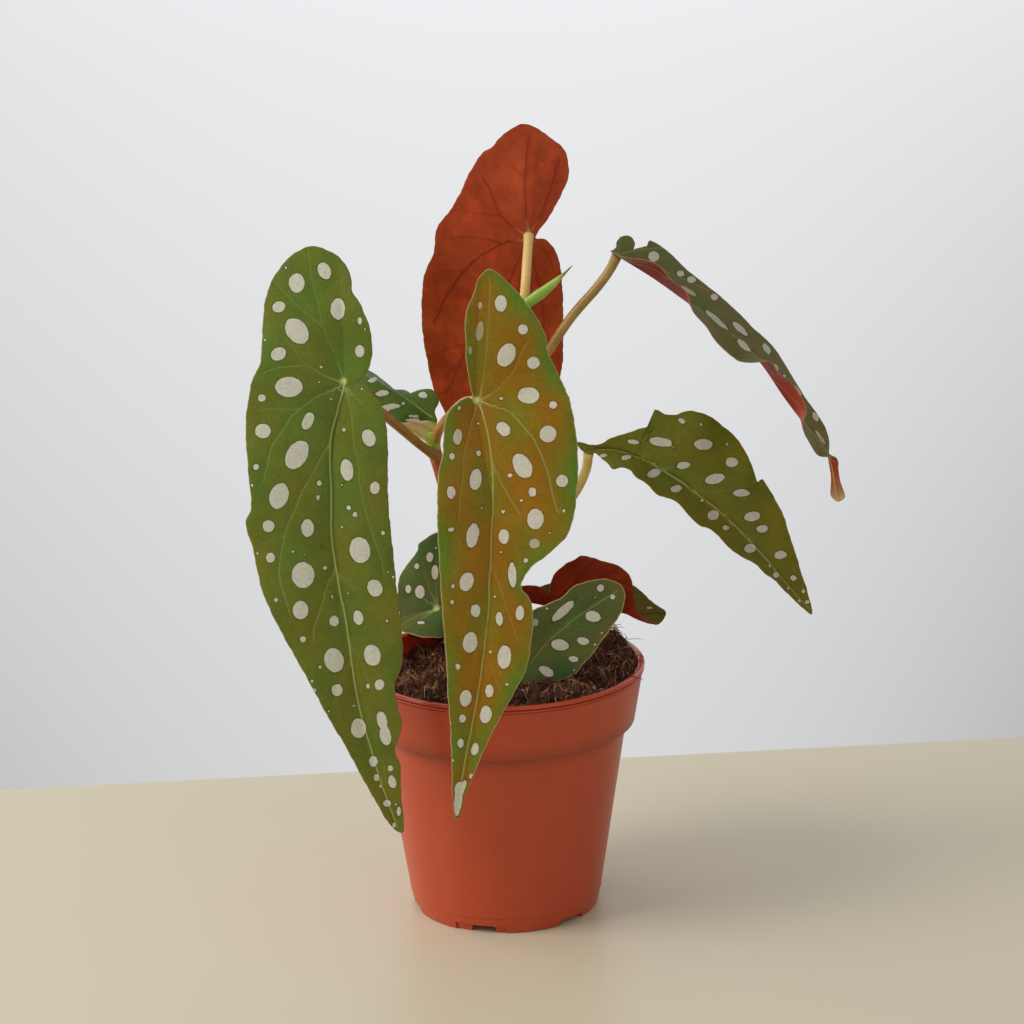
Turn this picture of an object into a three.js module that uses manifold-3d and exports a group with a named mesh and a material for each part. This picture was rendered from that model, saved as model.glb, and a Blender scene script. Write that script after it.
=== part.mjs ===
// Polka dot begonia in a round nursery pot. Millimetres, +Z up.
// The origin is the centre of the pot's flat bottom. +X is the plant's right and -Y its front.
import * as THREE from 'three';
import { mergeVertices } from 'three/addons/utils/BufferGeometryUtils.js';
import Module from 'manifold-3d';

const wasm = await Module();
wasm.setup();

// ---- driving dimensions ----
const POT_RIM_RADIUS = 60.8;
const POT_RIM_TOP = 107.8;
const POT_WALL = 1;
const POT_FOOT_RADIUS = 39.8;
const POT_FOOT_HEIGHT = 5.5;
const POT_STEP_HEIGHT = 83;
const POT_STEP_RADIUS = 52.8;
const POT_LEDGE = 3.6;
const POT_SEGMENTS = 48;
const NOTCH_HEIGHT = 3.5;
const NOTCH_DEPTH = 8;
const DRAIN_RADIUS = 3.5;
const DRAIN_RING_RADIUS = 33;
const BLADE_THICKNESS = 0.8;
const SEAT_GAP = 0.3;
const BLADE_SEAT_GAP = 0.35;
const SPINE_SPACING = 18;
const CANE_RADIUS = 3;
const PETIOLE_RADIUS = 2.1;
const PETIOLE_RADIUS_SMALL = 1.6;

const materialOf = {
  pot: { color: 0xb5573a, roughness: 0.5, metalness: 0 },
  soil: { color: 0x3a2419, roughness: 1, metalness: 0 },
  greenLeaf: { color: 0x55702c, roughness: 0.45, metalness: 0 },
  bronzeLeaf: { color: 0x7d6a24, roughness: 0.45, metalness: 0 },
  darkLeaf: { color: 0x37502c, roughness: 0.45, metalness: 0 },
  redLeaf: { color: 0x9c2f1c, roughness: 0.5, metalness: 0 },
  petiole: { color: 0xa5893c, roughness: 0.4, metalness: 0 },
  cane: { color: 0x8a4a2a, roughness: 0.5, metalness: 0 },
  bud: { color: 0x8fbf45, roughness: 0.4, metalness: 0 },
  stipule: { color: 0xc2a566, roughness: 0.7, metalness: 0 },
};

const plant = new THREE.Group();

function addPiece(name, geometry, material) {
  const mesh = new THREE.Mesh(geometry, new THREE.MeshStandardMaterial(materialOf[material]));
  mesh.name = name;
  plant.add(mesh);
}

// ---- solids: cutting and joining ----
function solidOf(geometry) {
  const bare = geometry.clone();
  bare.deleteAttribute('normal');
  bare.deleteAttribute('uv');
  const merged = mergeVertices(bare, 1e-4);
  const mesh = new wasm.Mesh({
    numProp: 3,
    vertProperties: new Float32Array(merged.getAttribute('position').array),
    triVerts: new Uint32Array(merged.index.array),
  });
  return new wasm.Manifold(mesh);
}

function geometryOf(solid) {
  const mesh = solid.getMesh();
  const geometry = new THREE.BufferGeometry();
  geometry.setAttribute('position', new THREE.BufferAttribute(new Float32Array(mesh.vertProperties), 3));
  geometry.setIndex(new THREE.BufferAttribute(new Uint32Array(mesh.triVerts), 1));
  return geometry;
}

function largestBody(solid) {
  return solid.decompose().reduce((best, body) => (body.volume() > best.volume() ? body : best));
}

function trimmed(geometry, cutters) {
  let solid = solidOf(geometry);
  for (const cutter of cutters) {
    solid = solid.subtract(solidOf(cutter));
  }
  return geometryOf(largestBody(solid));
}

// ---- curves ----
const vector = ([x, y, z]) => new THREE.Vector3(x, y, z);

// A smooth value along stations [position, ...values]: cubic pieces with centred slopes.
function valuesAt(stations, position) {
  const last = stations.length - 1;
  const at = Math.min(Math.max(position, stations[0][0]), stations[last][0]);
  let i = 0;
  while (i < last - 1 && at > stations[i + 1][0]) {
    i += 1;
  }
  const width = stations[i + 1][0] - stations[i][0];
  const t = (at - stations[i][0]) / width;
  const slope = (k, c) => {
    const before = stations[Math.max(k - 1, 0)];
    const after = stations[Math.min(k + 1, last)];
    return (after[c] - before[c]) / (after[0] - before[0]);
  };
  return stations[i].slice(1).map((start, c) => {
    const end = stations[i + 1][c + 1];
    const pull = width * t * (1 - t) * ((1 - t) * slope(i, c + 1) - t * slope(i + 1, c + 1));
    return start + (end - start) * t * t * (3 - 2 * t) + pull;
  });
}

// A round stem along a smooth curve.
function stem(points, radius, sides, steps) {
  const section = new THREE.Shape();
  for (let i = 0; i < sides; i += 1) {
    const angle = (2 * Math.PI * i) / sides;
    const corner = [radius * Math.cos(angle), radius * Math.sin(angle)];
    if (i === 0) {
      section.moveTo(...corner);
    } else {
      section.lineTo(...corner);
    }
  }
  section.closePath();
  const path = new THREE.CatmullRomCurve3(points.map(vector), false, 'catmullrom', 0.5);
  return new THREE.ExtrudeGeometry(section, { steps, extrudePath: path, bevelEnabled: false });
}

// ---- leaf blades ----
// A blade is a sheet bent along its midrib. A point of the flat leaf is [along, across]: millimetres
// from the petiole towards the tip, and from the midrib towards the side facing x midrib direction.
// The midrib follows a smooth curve; each half leaves it at its fold angle and bends on by its curl.
function bladeSurface(leaf) {
  const curve = new THREE.CatmullRomCurve3(leaf.midrib.map(vector), false, 'catmullrom', 0.5);
  curve.arcLengthDivisions = 400;
  const total = curve.getLength();
  const lengths = curve.getLengths();
  const share = leaf.petioleAt / (leaf.midrib.length - 1);
  const petioleLength = lengths[Math.round(share * (lengths.length - 1))];
  return ([along, across]) => {
    const reach = Math.min(Math.max(along + petioleLength, 0), total);
    const beyond = along + petioleLength - reach;
    const tangent = curve.getTangentAt(reach / total);
    const point = curve.getPointAt(reach / total).addScaledVector(tangent, beyond);
    const up = vector(valuesAt(leaf.facing, along));
    up.addScaledVector(tangent, -up.dot(tangent)).normalize();
    const side = new THREE.Vector3().crossVectors(up, tangent);
    const [foldBack, foldAhead, curlBack, curlAhead] = valuesAt(leaf.fold, along);
    const ahead = across >= 0;
    const fold = THREE.MathUtils.degToRad(ahead ? foldAhead : foldBack);
    const halfTurn = (THREE.MathUtils.degToRad(ahead ? curlAhead : curlBack) * Math.abs(across)) / 2;
    const chord = Math.abs(halfTurn) < 1e-6 ? across : (across * Math.sin(halfTurn)) / halfTurn;
    const wave = waveHeight(leaf.wave, along, across);
    point.addScaledVector(side, chord * Math.cos(fold + halfTurn));
    point.addScaledVector(up, Math.abs(chord) * Math.sin(fold + halfTurn) + wave);
    return point;
  };
}

// The waves of a blade's edge grow with the square of the distance from the midrib.
const WAVE_SHIFT_OF_HALVES = 1.9;
const WAVE_LIMIT = 2.5;
function waveHeight([height, length, halfWidth, start], along, across) {
  const growth = Math.min((across / halfWidth) ** 2, WAVE_LIMIT);
  const shift = across >= 0 ? 0 : WAVE_SHIFT_OF_HALVES;
  return height * growth * Math.sin((2 * Math.PI * along) / length + start + shift);
}

// The outline is a smooth closed curve through its points, in [along, across].
function outlinePoints(leaf, perSpan) {
  const corners = leaf.outline.map(([along, across]) => new THREE.Vector3(along, across, 0));
  const curve = new THREE.CatmullRomCurve3(corners, true, 'catmullrom', 0.5);
  return curve.getPoints(corners.length * perSpan).slice(0, -1).map((p) => [p.x, p.y]);
}

// Rings of points from a line along the midrib out to the edge, on both faces, joined round the edge.
function blade(leaf, thickness, spread = 0) {
  const surface = bladeSurface(leaf);
  const edge = outlinePoints(leaf, leaf.perSpan);
  const spokes = edge.length;
  const [lineStart, lineEnd] = leaf.spine;
  const links = Math.max(1, Math.round((lineEnd[0] - lineStart[0]) / SPINE_SPACING));
  const linkOf = (along) => {
    const link = Math.round(((along - lineStart[0]) / (lineEnd[0] - lineStart[0])) * links);
    return Math.min(Math.max(link, 0), links);
  };
  const roots = edge.map(([along]) => linkOf(along));
  const flatPoints = [];
  for (let link = 0; link <= links; link += 1) {
    const share = link / links;
    flatPoints.push([0, 1].map((c) => lineStart[c] + (lineEnd[c] - lineStart[c]) * share));
  }
  for (let ring = 1; ring <= leaf.rings; ring += 1) {
    edge.forEach((corner, spoke) => {
      const root = flatPoints[roots[spoke]];
      const reach = Math.hypot(corner[0] - root[0], corner[1] - root[1]);
      const r = (ring / leaf.rings) * (1 + spread / reach);
      flatPoints.push([0, 1].map((c) => root[c] + (corner[c] - root[c]) * r));
    });
  }
  const nearby = 0.5;
  const offsets = flatPoints.map(([along, across]) => {
    const ahead = surface([along + nearby, across]).sub(surface([along - nearby, across]));
    const sideways = surface([along, across + nearby]).sub(surface([along, across - nearby]));
    return new THREE.Vector3().crossVectors(ahead, sideways).normalize().multiplyScalar(thickness / 2);
  });
  const middle = flatPoints.map(surface);
  const positions = [];
  for (const sign of [1, -1]) {
    middle.forEach((point, i) => positions.push(...point.clone().addScaledVector(offsets[i], sign)));
  }
  const other = middle.length;
  const at = (ring, spoke) => links + 1 + (ring - 1) * spokes + (spoke % spokes);
  const faces = [];
  for (let spoke = 0; spoke < spokes; spoke += 1) {
    const from = roots[spoke];
    const to = roots[(spoke + 1) % spokes];
    const step = Math.sign(to - from);
    faces.push([from, at(1, spoke), at(1, spoke + 1)]);
    for (let link = from; link !== to; link += step) {
      faces.push([link, at(1, spoke + 1), link + step]);
    }
    for (let ring = 1; ring < leaf.rings; ring += 1) {
      faces.push([at(ring, spoke), at(ring + 1, spoke), at(ring + 1, spoke + 1)]);
      faces.push([at(ring, spoke), at(ring + 1, spoke + 1), at(ring, spoke + 1)]);
    }
  }
  const triangles = [];
  for (const [a, b, c] of faces) {
    triangles.push(a, b, c, a + other, c + other, b + other);
  }
  for (let spoke = 0; spoke < spokes; spoke += 1) {
    const a = at(leaf.rings, spoke);
    const b = at(leaf.rings, spoke + 1);
    triangles.push(a, a + other, b + other, a, b + other, b);
  }
  const geometry = new THREE.BufferGeometry();
  geometry.setAttribute('position', new THREE.Float32BufferAttribute(positions, 3));
  geometry.setIndex(triangles);
  return facingOut(geometry);
}

// Turns a closed shape's triangles over when they enclose a negative volume.
function facingOut(geometry) {
  const position = geometry.getAttribute('position');
  const index = geometry.index.array;
  const corner = (i) => new THREE.Vector3().fromBufferAttribute(position, index[i]);
  let volume = 0;
  for (let i = 0; i < index.length; i += 3) {
    volume += corner(i).dot(corner(i + 1).cross(corner(i + 2)));
  }
  if (volume < 0) {
    for (let i = 0; i < index.length; i += 3) {
      [index[i + 1], index[i + 2]] = [index[i + 2], index[i + 1]];
    }
  }
  return geometry;
}

// ---- pot ----
// Thin moulded plastic: tapered wall, a collar that stands out over it on a flat ledge, a rolled lip,
// and a notched foot.
function pot() {
  const profile = [
    [0, 0],
    [POT_FOOT_RADIUS, 0],
    [POT_FOOT_RADIUS + 1.2, POT_FOOT_HEIGHT],
    [POT_STEP_RADIUS, POT_STEP_HEIGHT],
    [POT_STEP_RADIUS + POT_LEDGE - 0.2, POT_STEP_HEIGHT],
    [POT_STEP_RADIUS + POT_LEDGE, POT_STEP_HEIGHT + 0.4],
    [POT_RIM_RADIUS - 0.9, POT_RIM_TOP - 3],
    [POT_RIM_RADIUS - 0.3, POT_RIM_TOP - 2.6],
    [POT_RIM_RADIUS - 0.3, POT_RIM_TOP - 1.9],
    [POT_RIM_RADIUS - 1.2, POT_RIM_TOP - 1.6],
    [POT_RIM_RADIUS - 0.2, POT_RIM_TOP - 1.2],
    [POT_RIM_RADIUS, POT_RIM_TOP - 0.7],
    [POT_RIM_RADIUS - 0.7, POT_RIM_TOP],
    [POT_RIM_RADIUS - 2.4, POT_RIM_TOP],
    [POT_RIM_RADIUS - 3, POT_RIM_TOP - 0.5],
    ...innerWall(0).reverse(),
    [POT_FOOT_RADIUS - 1.5, POT_FOOT_HEIGHT - 0.5],
    [28, POT_FOOT_HEIGHT - 0.5],
    [26, 1.6],
    [0, 1.6],
  ];
  const corners = profile.map(([radius, height]) => new THREE.Vector2(radius, height));
  const lathe = facingOut(upright(new THREE.LatheGeometry(corners, POT_SEGMENTS)));
  let solid = solidOf(lathe);
  for (let i = 0; i < 6; i += 1) {
    const wide = i % 2 === 0;
    const middle = (wide ? -106.5 : -46) + 120 * Math.floor(i / 2);
    const spread = wide ? 32 : 19;
    const angle = THREE.MathUtils.degToRad(middle);
    const width = 2 * POT_FOOT_RADIUS * Math.sin(THREE.MathUtils.degToRad(spread / 2));
    const notch = new THREE.BoxGeometry(NOTCH_DEPTH, width, 2 * NOTCH_HEIGHT);
    notch.translate(POT_FOOT_RADIUS, 0, 0);
    notch.rotateZ(angle);
    solid = solid.subtract(solidOf(notch));
    const drain = new THREE.CylinderGeometry(DRAIN_RADIUS, DRAIN_RADIUS, 30, 16);
    drain.rotateX(Math.PI / 2);
    drain.translate(DRAIN_RING_RADIUS * Math.cos(angle), DRAIN_RING_RADIUS * Math.sin(angle), 0);
    solid = solid.subtract(solidOf(drain));
  }
  return geometryOf(solid);
}

// The inside of the pot's wall from the floor up to the lip, moved inwards by clearance.
function innerWall(clearance) {
  return [
    [POT_FOOT_RADIUS + 0.4 - clearance, POT_FOOT_HEIGHT + 1],
    [POT_STEP_RADIUS - POT_WALL - clearance, POT_STEP_HEIGHT + 0.6],
    [POT_STEP_RADIUS - POT_WALL + 0.4 - clearance, POT_STEP_HEIGHT + 1.2],
    [POT_STEP_RADIUS + POT_LEDGE - POT_WALL - 0.4 - clearance, POT_STEP_HEIGHT + 1.5],
    [POT_RIM_RADIUS - 2.6 - clearance, POT_RIM_TOP - 4],
  ];
}

// LatheGeometry turns round +Y; the plant stands on +Z.
function upright(geometry) {
  return geometry.rotateX(Math.PI / 2);
}

// ---- soil ----
// Fibrous potting mix, sunk at the back left and heaped at the back right.
const SOIL_LEVEL = 103.5;
const SOIL_HEAPS = [
  { at: [38, 26], height: 8, spread: 17 },
  { at: [-34, 22], height: -7, spread: 22 },
  { at: [20, -44], height: 2, spread: 14 },
  { at: [-8, 48], height: 2, spread: 16 },
];
function soilHeight(x, y) {
  return SOIL_HEAPS.reduce((height, heap) => {
    const away = Math.hypot(x - heap.at[0], y - heap.at[1]) / heap.spread;
    return height + heap.height * Math.exp(-away * away);
  }, SOIL_LEVEL);
}

function soil() {
  const segments = 40;
  const topRings = 6;
  const wall = innerWall(SEAT_GAP).slice(0, -1);
  const topRadius = POT_RIM_RADIUS - 3.4;
  const positions = [0, 0, POT_FOOT_HEIGHT + 0.2];
  const ringAt = (radius, heightAt) => {
    for (let i = 0; i < segments; i += 1) {
      const angle = (2 * Math.PI * i) / segments;
      const x = radius * Math.cos(angle);
      const y = radius * Math.sin(angle);
      positions.push(x, y, heightAt(x, y));
    }
  };
  wall.forEach(([radius, height]) => ringAt(radius, () => height));
  for (let ring = topRings; ring > 0; ring -= 1) {
    ringAt((topRadius * ring) / topRings, soilHeight);
  }
  positions.push(0, 0, soilHeight(0, 0));
  const rings = wall.length + topRings;
  const top = 1 + rings * segments;
  const at = (ring, i) => 1 + ring * segments + (i % segments);
  const triangles = [];
  for (let i = 0; i < segments; i += 1) {
    triangles.push(0, at(0, i + 1), at(0, i), top, at(rings - 1, i), at(rings - 1, i + 1));
    for (let ring = 0; ring < rings - 1; ring += 1) {
      triangles.push(at(ring, i), at(ring, i + 1), at(ring + 1, i + 1));
      triangles.push(at(ring, i), at(ring + 1, i + 1), at(ring + 1, i));
    }
  }
  const geometry = new THREE.BufferGeometry();
  geometry.setAttribute('position', new THREE.Float32BufferAttribute(positions, 3));
  geometry.setIndex(triangles);
  return facingOut(geometry);
}

// ---- canes: the woody stems that come out of the soil ----
const canes = {
  cane_left: [[-8, 8, 78], [-11, 8, 105], [-16, 7, 140], [-20, 5, 172], [-24, 4, 190], [-27, 4, 202],
    [-26.5, 3, 209]],
  cane_right: [[2, 6, 78], [2, 6, 105], [4, 5, 140], [9, 3, 175], [14, 1, 210], [14, 0, 240], [11, 0, 264]],
  cane_low: [[10, 19, 78], [10, 19, 100], [11, 20, 112]],
};

// ---- leaves ----
// midrib: points from the upper lobe to the tip; petioleAt: the point that the petiole reaches.
// facing: [along, direction of the upper face]. fold: [along, fold and curl of each half].
// wave: [height, length, half width, start]. spine: the ends of the line that the rings start from.
// outline: [along, across], round from the petiole.
const leaves = {
  front_left: {
    midrib: [[-63, -33, 294], [-61, -42, 270], [-61, -46, 242], [-65, -51, 220], [-67, -57, 196],
      [-66, -62, 165],
      [-61, -66, 130], [-55, -66, 93], [-43, -62, 55]],
    petioleAt: 2,
    facing: [[-54, -0.15, -1, 0.35], [0, -0.05, -1, 0.05], [100, 0.05, -1, -0.05], [190, -0.1, -1, -0.1]],
    fold: [[-54, 4, 4, -0.3, -0.3], [0, 14, 14, -0.6, -0.6], [100, 14, 14, -0.6, -0.6],
      [190, 12, 12, -0.5, -0.5]],
    wave: [1, 46, 32, 0],
    spine: [[3, -1], [166, 0]],
    outline: [[0.5, 3], [-3, 8.5], [-7, 10.5], [-14, 11.5], [-22, 10.5], [-30, 7.5], [-35, 4.6],
      [-38.5, 4.6],
      [-45, 3.5], [-51, -1], [-55, -9], [-53, -17], [-46, -25], [-36, -30], [-22, -32], [-8, -33], [3, -36],
      [20, -36], [38, -33], [50, -31.5], [56, -34], [66, -31.5], [80, -29.5], [95, -25], [112, -19.5],
      [134, -12.5],
      [150, -7.5], [170, -4.5], [186, -2.5], [192, 0.5], [188, 3], [179, 5.5], [171, 8], [162, 11],
      [154, 11],
      [148, 14.5], [142, 16.5], [134, 16], [125, 16.5], [118, 20.5], [108, 22.5], [92, 23.5], [72, 24],
      [50, 23],
      [30, 22], [18, 20.5], [9, 17.5], [4.5, 13], [1, 8.5], [1.5, 3.5]],
    perSpan: 1,
    rings: 3,
    material: 'greenLeaf',
    petiole: [[-25, 3, 197], [-32, -6, 205], [-39, -14, 213.5], [-47, -26, 224], [-56, -38, 235.5],
      [-61.5, -47, 243.5]],
    from: 'cane_left',
  },
  front_centre: {
    midrib: [[-5, -50, 288], [-7, -59, 262], [-8, -62, 237], [-5, -69, 216], [-2, -75, 194], [-3, -81, 165],
      [-7, -84, 130], [-13, -83, 96], [-19, -78, 67]],
    petioleAt: 2,
    facing: [[-53, 0.1, -1, 0.4], [0, 0.05, -1, 0.1], [90, -0.05, -1, 0], [180, -0.1, -1, -0.1]],
    fold: [[-53, 10, 6, 0, -0.3], [0, 22, 14, -0.3, -0.5], [90, 16, 14, -0.5, -0.6],
      [175, 12, 12, -0.5, -0.5]],
    wave: [1.2, 52, 30, 1],
    spine: [[3, 1], [150, 0]],
    outline: [[0, -1.5], [-4, -1.5], [-15, -3.8], [-24, -4.5], [-33, -5], [-41, -2.5], [-48, -0.5],
      [-52, 3],
      [-50, 7], [-44, 14], [-36, 21], [-28, 26], [-20, 28], [-11, 32.5], [0, 36], [15, 37], [30, 36],
      [42, 33],
      [49, 31], [54, 28.5], [60, 22], [65, 15.5], [70, 12], [74, 11.5], [79, 15.5], [86, 17], [95, 17],
      [104, 16.5], [113, 13.5], [124, 9.5], [134, 6.5], [147, 3.5], [162, 1], [175, 0], [165, -3.5],
      [150, -6.5],
      [133, -10], [120, -13], [105, -15.5], [88, -18.5], [70, -21], [50, -22.5], [35, -21.5], [26, -19.5],
      [20, -17], [14, -15.5], [8, -14], [3, -11], [0, -6.5], [-1, -3.5]],
    perSpan: 1,
    rings: 3,
    material: 'bronzeLeaf',
    petiole: [[-27, 4, 203], [-24, -2, 211], [-19, -19, 221], [-13, -42, 231.5], [-8, -64, 238]],
    from: 'cane_left',
  },
  back_top: {
    midrib: [[19, 31, 332], [17, 23, 310], [14.5, 19, 288], [9, 24, 264], [4, 33, 236], [-1, 46, 203],
      [-4, 58, 166]],
    petioleAt: 2,
    facing: [[-46, 0, 1, 0.3], [0, 0, 1, 0], [60, 0, 1, 0.25], [130, 0, 1, 0.3]],
    fold: [[-46, 4, 4, 0.3, 0.3], [0, 10, 14, -0.4, -0.4], [60, 12, 12, -0.5, -0.5],
      [130, 12, 12, -0.5, -0.5]],
    wave: [1.2, 50, 34, 2],
    spine: [[3, 2], [112, 0]],
    outline: [[0.5, -2.5], [-3, -4], [-10, -8], [-18, -11.5], [-26, -14], [-36, -12], [-42, -4], [-46, 5],
      [-42, 13], [-36, 18], [-33, 22], [-26, 26], [-16, 30], [-6, 34], [4, 37.5], [11, 38], [18, 37],
      [26, 39],
      [40, 38], [54, 35.5], [66, 32], [80, 27.5], [91, 21.5], [102, 14.5], [115, 7], [131, 0], [122, -6],
      [110, -12], [96, -18], [80, -23], [62, -25], [42, -22.5], [25, -19.5], [11, -15.5], [4, -11],
      [1.2, -7],
      [1.5, -4]],
    perSpan: 1,
    rings: 3,
    material: 'redLeaf',
    petiole: [[11, 0, 256], [12.3, 1.5, 267], [13.3, 7, 277], [14.5, 20.5, 289]],
    from: 'cane_right',
  },
  right_top: {
    midrib: [[50.5, 0, 282.5], [65.5, 0, 272.8], [80.5, 0, 261.6], [96, 0, 250], [109, 0, 237.3],
      [120, 0, 221],
      [131, 0, 206], [139, 0, 194.5], [142, 0, 179]],
    petioleAt: 0,
    facing: [[0, 0.55, 0, 0.8], [70, 0.65, 0, 0.7], [100, 0.8, 0, 0.6], [122, 0.85, 0, 0.4],
      [130, 0.6, 0.7, 0.2],
      [140, 0.4, 0.9, 0.1]],
    fold: [[0, 8, 18, 0, 0], [8, 22, 18, 0, 0], [15, 26, 18, 0, 0], [22, 19, 18, 0, 0], [30, 17, 18, 0, 0],
      [37, 0, 18, 0, 0], [45, -8, 18, 0, 0], [52, -18, 18, 0, 0], [64, -20, 18, 0, 0], [69, -8, 18, 0, 0],
      [74, 14, 18, 0, 0], [80, 15, 18, 0, 0], [87, 24, 18, 0, 0], [100, 20, 18, 0, 0], [104, 0, 18, 0, 0],
      [114, -8, 18, 0, 0], [120, -12, 18, 0, 0], [126, 4, 18, 0, 0], [140, 4, 18, 0, 0]],
    wave: [0, 30, 20, 0],
    spine: [[3, 0], [126, 0]],
    outline: [[-1, 5], [-1.5, 10], [-0.5, 15.5], [1.5, 20], [4, 21], [5.7, 17], [5.4, 12.5], [6, 10.8],
      [7.5, 14.2],
      [10, 19], [12.2, 22.7], [12, 27.5], [15, 28.7], [22, 28], [29, 25], [38, 23.8], [47, 22.5],
      [56, 20.5],
      [62, 19.5], [67, 18.3], [74, 20.2], [81, 21.4], [89, 20.8], [97, 19.4], [104, 17], [110, 15],
      [117, 13],
      [122, 9], [127, 3], [132, 1.8], [139, 1.6], [143, 3], [145, 0.5], [143.5, -3], [139, -1.8], [132, -2],
      [127, -4], [121, -10], [114, -12], [104, -13.5], [92, -15], [78, -15.5], [64, -15], [52, -15],
      [46, -14.5],
      [38, -14.5], [30, -15.5], [14, -16], [5, -14], [0, -12], [-3, -8], [-3, -1]],
    perSpan: 2,
    rings: 2,
    material: 'darkLeaf',
    petiole: [[14, 0, 231], [21.5, 0, 242.5], [31.5, 0, 257], [42, 0, 269], [47.5, 0, 276.5],
      [51.5, 0, 286]],
    from: 'cane_right',
  },
  right_middle: {
    midrib: [[38, 0, 200], [50, -1, 200], [63, -4, 195], [80, -8, 183], [98, -10, 167], [115, -10, 149],
      [131, -6, 129]],
    petioleAt: 0,
    facing: [[0, 0.1, -0.75, 0.7], [60, 0.3, -0.75, 0.6], [120, 0.45, -0.75, 0.5]],
    fold: [[0, 30, 25, 0, -0.2], [25, 30, 18, 0, -0.3], [60, 26, 12, 0, -0.5], [120, 24, 12, 0, -0.5]],
    wave: [0.7, 28, 18, 0.5],
    spine: [[3.5, 0], [106, 0]],
    outline: [[-5, 3.2], [-2, 2.6], [1, 1.8], [4.8, 2], [9, 4.2], [14, 7.7], [20, 13.7], [21.8, 16.5],
      [21.7, 18.4], [19.6, 22], [22.6, 21.9], [26, 23.7], [28.8, 27.7], [32, 29.7], [38, 32], [46, 34],
      [51.5, 33],
      [56.7, 29.5], [62, 26.4], [67.3, 23.6], [68.8, 26.8], [75, 25.6], [80, 23], [86, 19.4], [91.5, 16],
      [99, 12.8], [107, 8.3], [114, 5], [122.5, 0], [117, -2.3], [104, -4.5], [98.5, -4.6], [92.5, -6.5],
      [86.5, -7], [79, -11], [73.5, -12], [67.5, -11], [62, -11.2], [57, -15], [51, -14.2], [46, -12.2],
      [42, -12.8], [37, -16.3], [31, -14.8], [25.5, -15.4], [21.6, -12.2], [17.3, -12.5], [12.9, -15.1],
      [8.7, -10.8], [5.5, -6.3], [3, -2.4], [0, -1.5], [-3, 0.5]],
    perSpan: 2,
    rings: 2,
    material: 'greenLeaf',
    petiole: [[7.5, 4, 160], [20, 2.5, 168], [31, 1, 180], [36.5, 0, 191], [38.5, -1, 203]],
    from: 'cane_right',
  },
  back_left: {
    midrib: [[-27.5, 21, 208.5], [-42, 27, 219], [-58, 35, 225.5], [-74, 43, 225.5], [-88, 50, 220]],
    petioleAt: 0,
    facing: [[0, 0, -0.3, 0.95], [40, -0.1, -0.3, 0.95], [75, -0.4, -0.3, 0.9]],
    fold: [[0, 16, 6, 0, 0], [10, 12, 4, 0, 0], [20, -24, 0, -0.3, -0.2], [40, -24, 0, -0.3, -0.3],
      [75, -14, -4, 0, 0]],
    wave: [0.8, 24, 18, 0],
    spine: [[3, 0], [62, 0]],
    outline: [[-1.5, 1], [-2.5, 4], [0.7, 6.2], [3.1, 9.5], [5.6, 12], [10, 14.6], [15, 14.4], [18, 16],
      [26, 18],
      [38, 19.5], [50, 16], [62, 10.5], [71, 5], [76, 0], [70, -6], [58, -11], [48, -15], [40, -14.5],
      [34, -11],
      [27, -6], [22.5, -3.5], [21, -7.5], [20.5, -10], [18, -8.5], [16.3, -5.5], [15.4, -8.5],
      [14.5, -11.5],
      [11.5, -12.4], [8.5, -12], [5.5, -10.4], [3.7, -8], [3.5, -5.5], [2, -3.5], [-1, -1.5]],
    perSpan: 2,
    rings: 2,
    material: 'darkLeaf',
    petiole: [[-27, 4, 202], [-26, 12, 204], [-27.5, 22, 210]],
    from: 'cane_left',
  },
  back_low: {
    midrib: [[-19.6, 47, 118.2], [-28.5, 48, 117.2], [-39.3, 49.9, 114], [-50, 53, 111], [-60, 57, 105]],
    petioleAt: 1,
    facing: [[-9, -0.1, -0.9, 0.35], [0, -0.1, -0.9, 0.4], [42, -0.3, -0.85, 0.4]],
    fold: [[-9, 10, 10, 0, 0], [0, 10, 25, 0, 0], [20, 6, 38, 0, 0], [42, 5, 20, 0, 0]],
    wave: [0.7, 26, 20, 0],
    spine: [[2, -1], [34, 0]],
    outline: [[-2, -1.5], [-8, -7], [-12, -16], [-12, -26], [-8, -32.5], [-3.9, -33], [-0.8, -30.5],
      [1, -28.8],
      [1.8, -26.2], [6.2, -22.6], [10, -20.4], [14, -18.2], [15.6, -14], [17, -9.5], [21, -7.5], [26, -6.5],
      [33, -4], [39, 0], [33, 2.5], [26, 4], [20, 6.5], [14.3, 9.7], [11, 11.4], [7.8, 13.4], [3, 14.6],
      [-3, 14.2], [-8, 8], [-4, 2]],
    perSpan: 2,
    rings: 2,
    material: 'darkLeaf',
    petiole: [[-10, 8, 104], [-7, 24, 113], [-8, 42, 121], [-13, 53, 122.5], [-22, 55, 120],
      [-28.5, 47, 117]],
    from: 'cane_left',
  },
  low_front: {
    midrib: [[5, -17, 112.5], [14, -17, 120.5], [21, -17, 126.5], [30, -17, 132.5], [39, -15, 138],
      [46.5, -12, 141.5]],
    petioleAt: 0,
    facing: [[0, 0.1, -0.85, 0.5], [50, 0.2, -0.85, 0.5]],
    fold: [[0, 8, 8, 0, 0], [25, 8, 8, -0.6, -0.6], [50, 8, 8, -0.6, -0.6]],
    wave: [0.5, 22, 18, 0],
    spine: [[3, 0], [46, 0]],
    outline: [[-1, 0.8], [-5, 4], [-4, 9], [4, 12.5], [14, 12.5], [26, 10], [33, 9], [39, 10], [47, 8],
      [53, 5],
      [56.5, 0], [54, -6], [47, -11], [36, -15], [30, -17.5], [20, -20], [12, -18.5], [6, -14.5],
      [0, -10.5],
      [-5, -7], [-5, -3], [-1, -0.8]],
    perSpan: 2,
    rings: 2,
    material: 'darkLeaf',
    petiole: [[2.5, 6, 105], [4, -2, 107.5], [5, -10, 109.5], [5, -18.5, 113.5]],
    from: 'cane_right',
  },
  low_back: {
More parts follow.
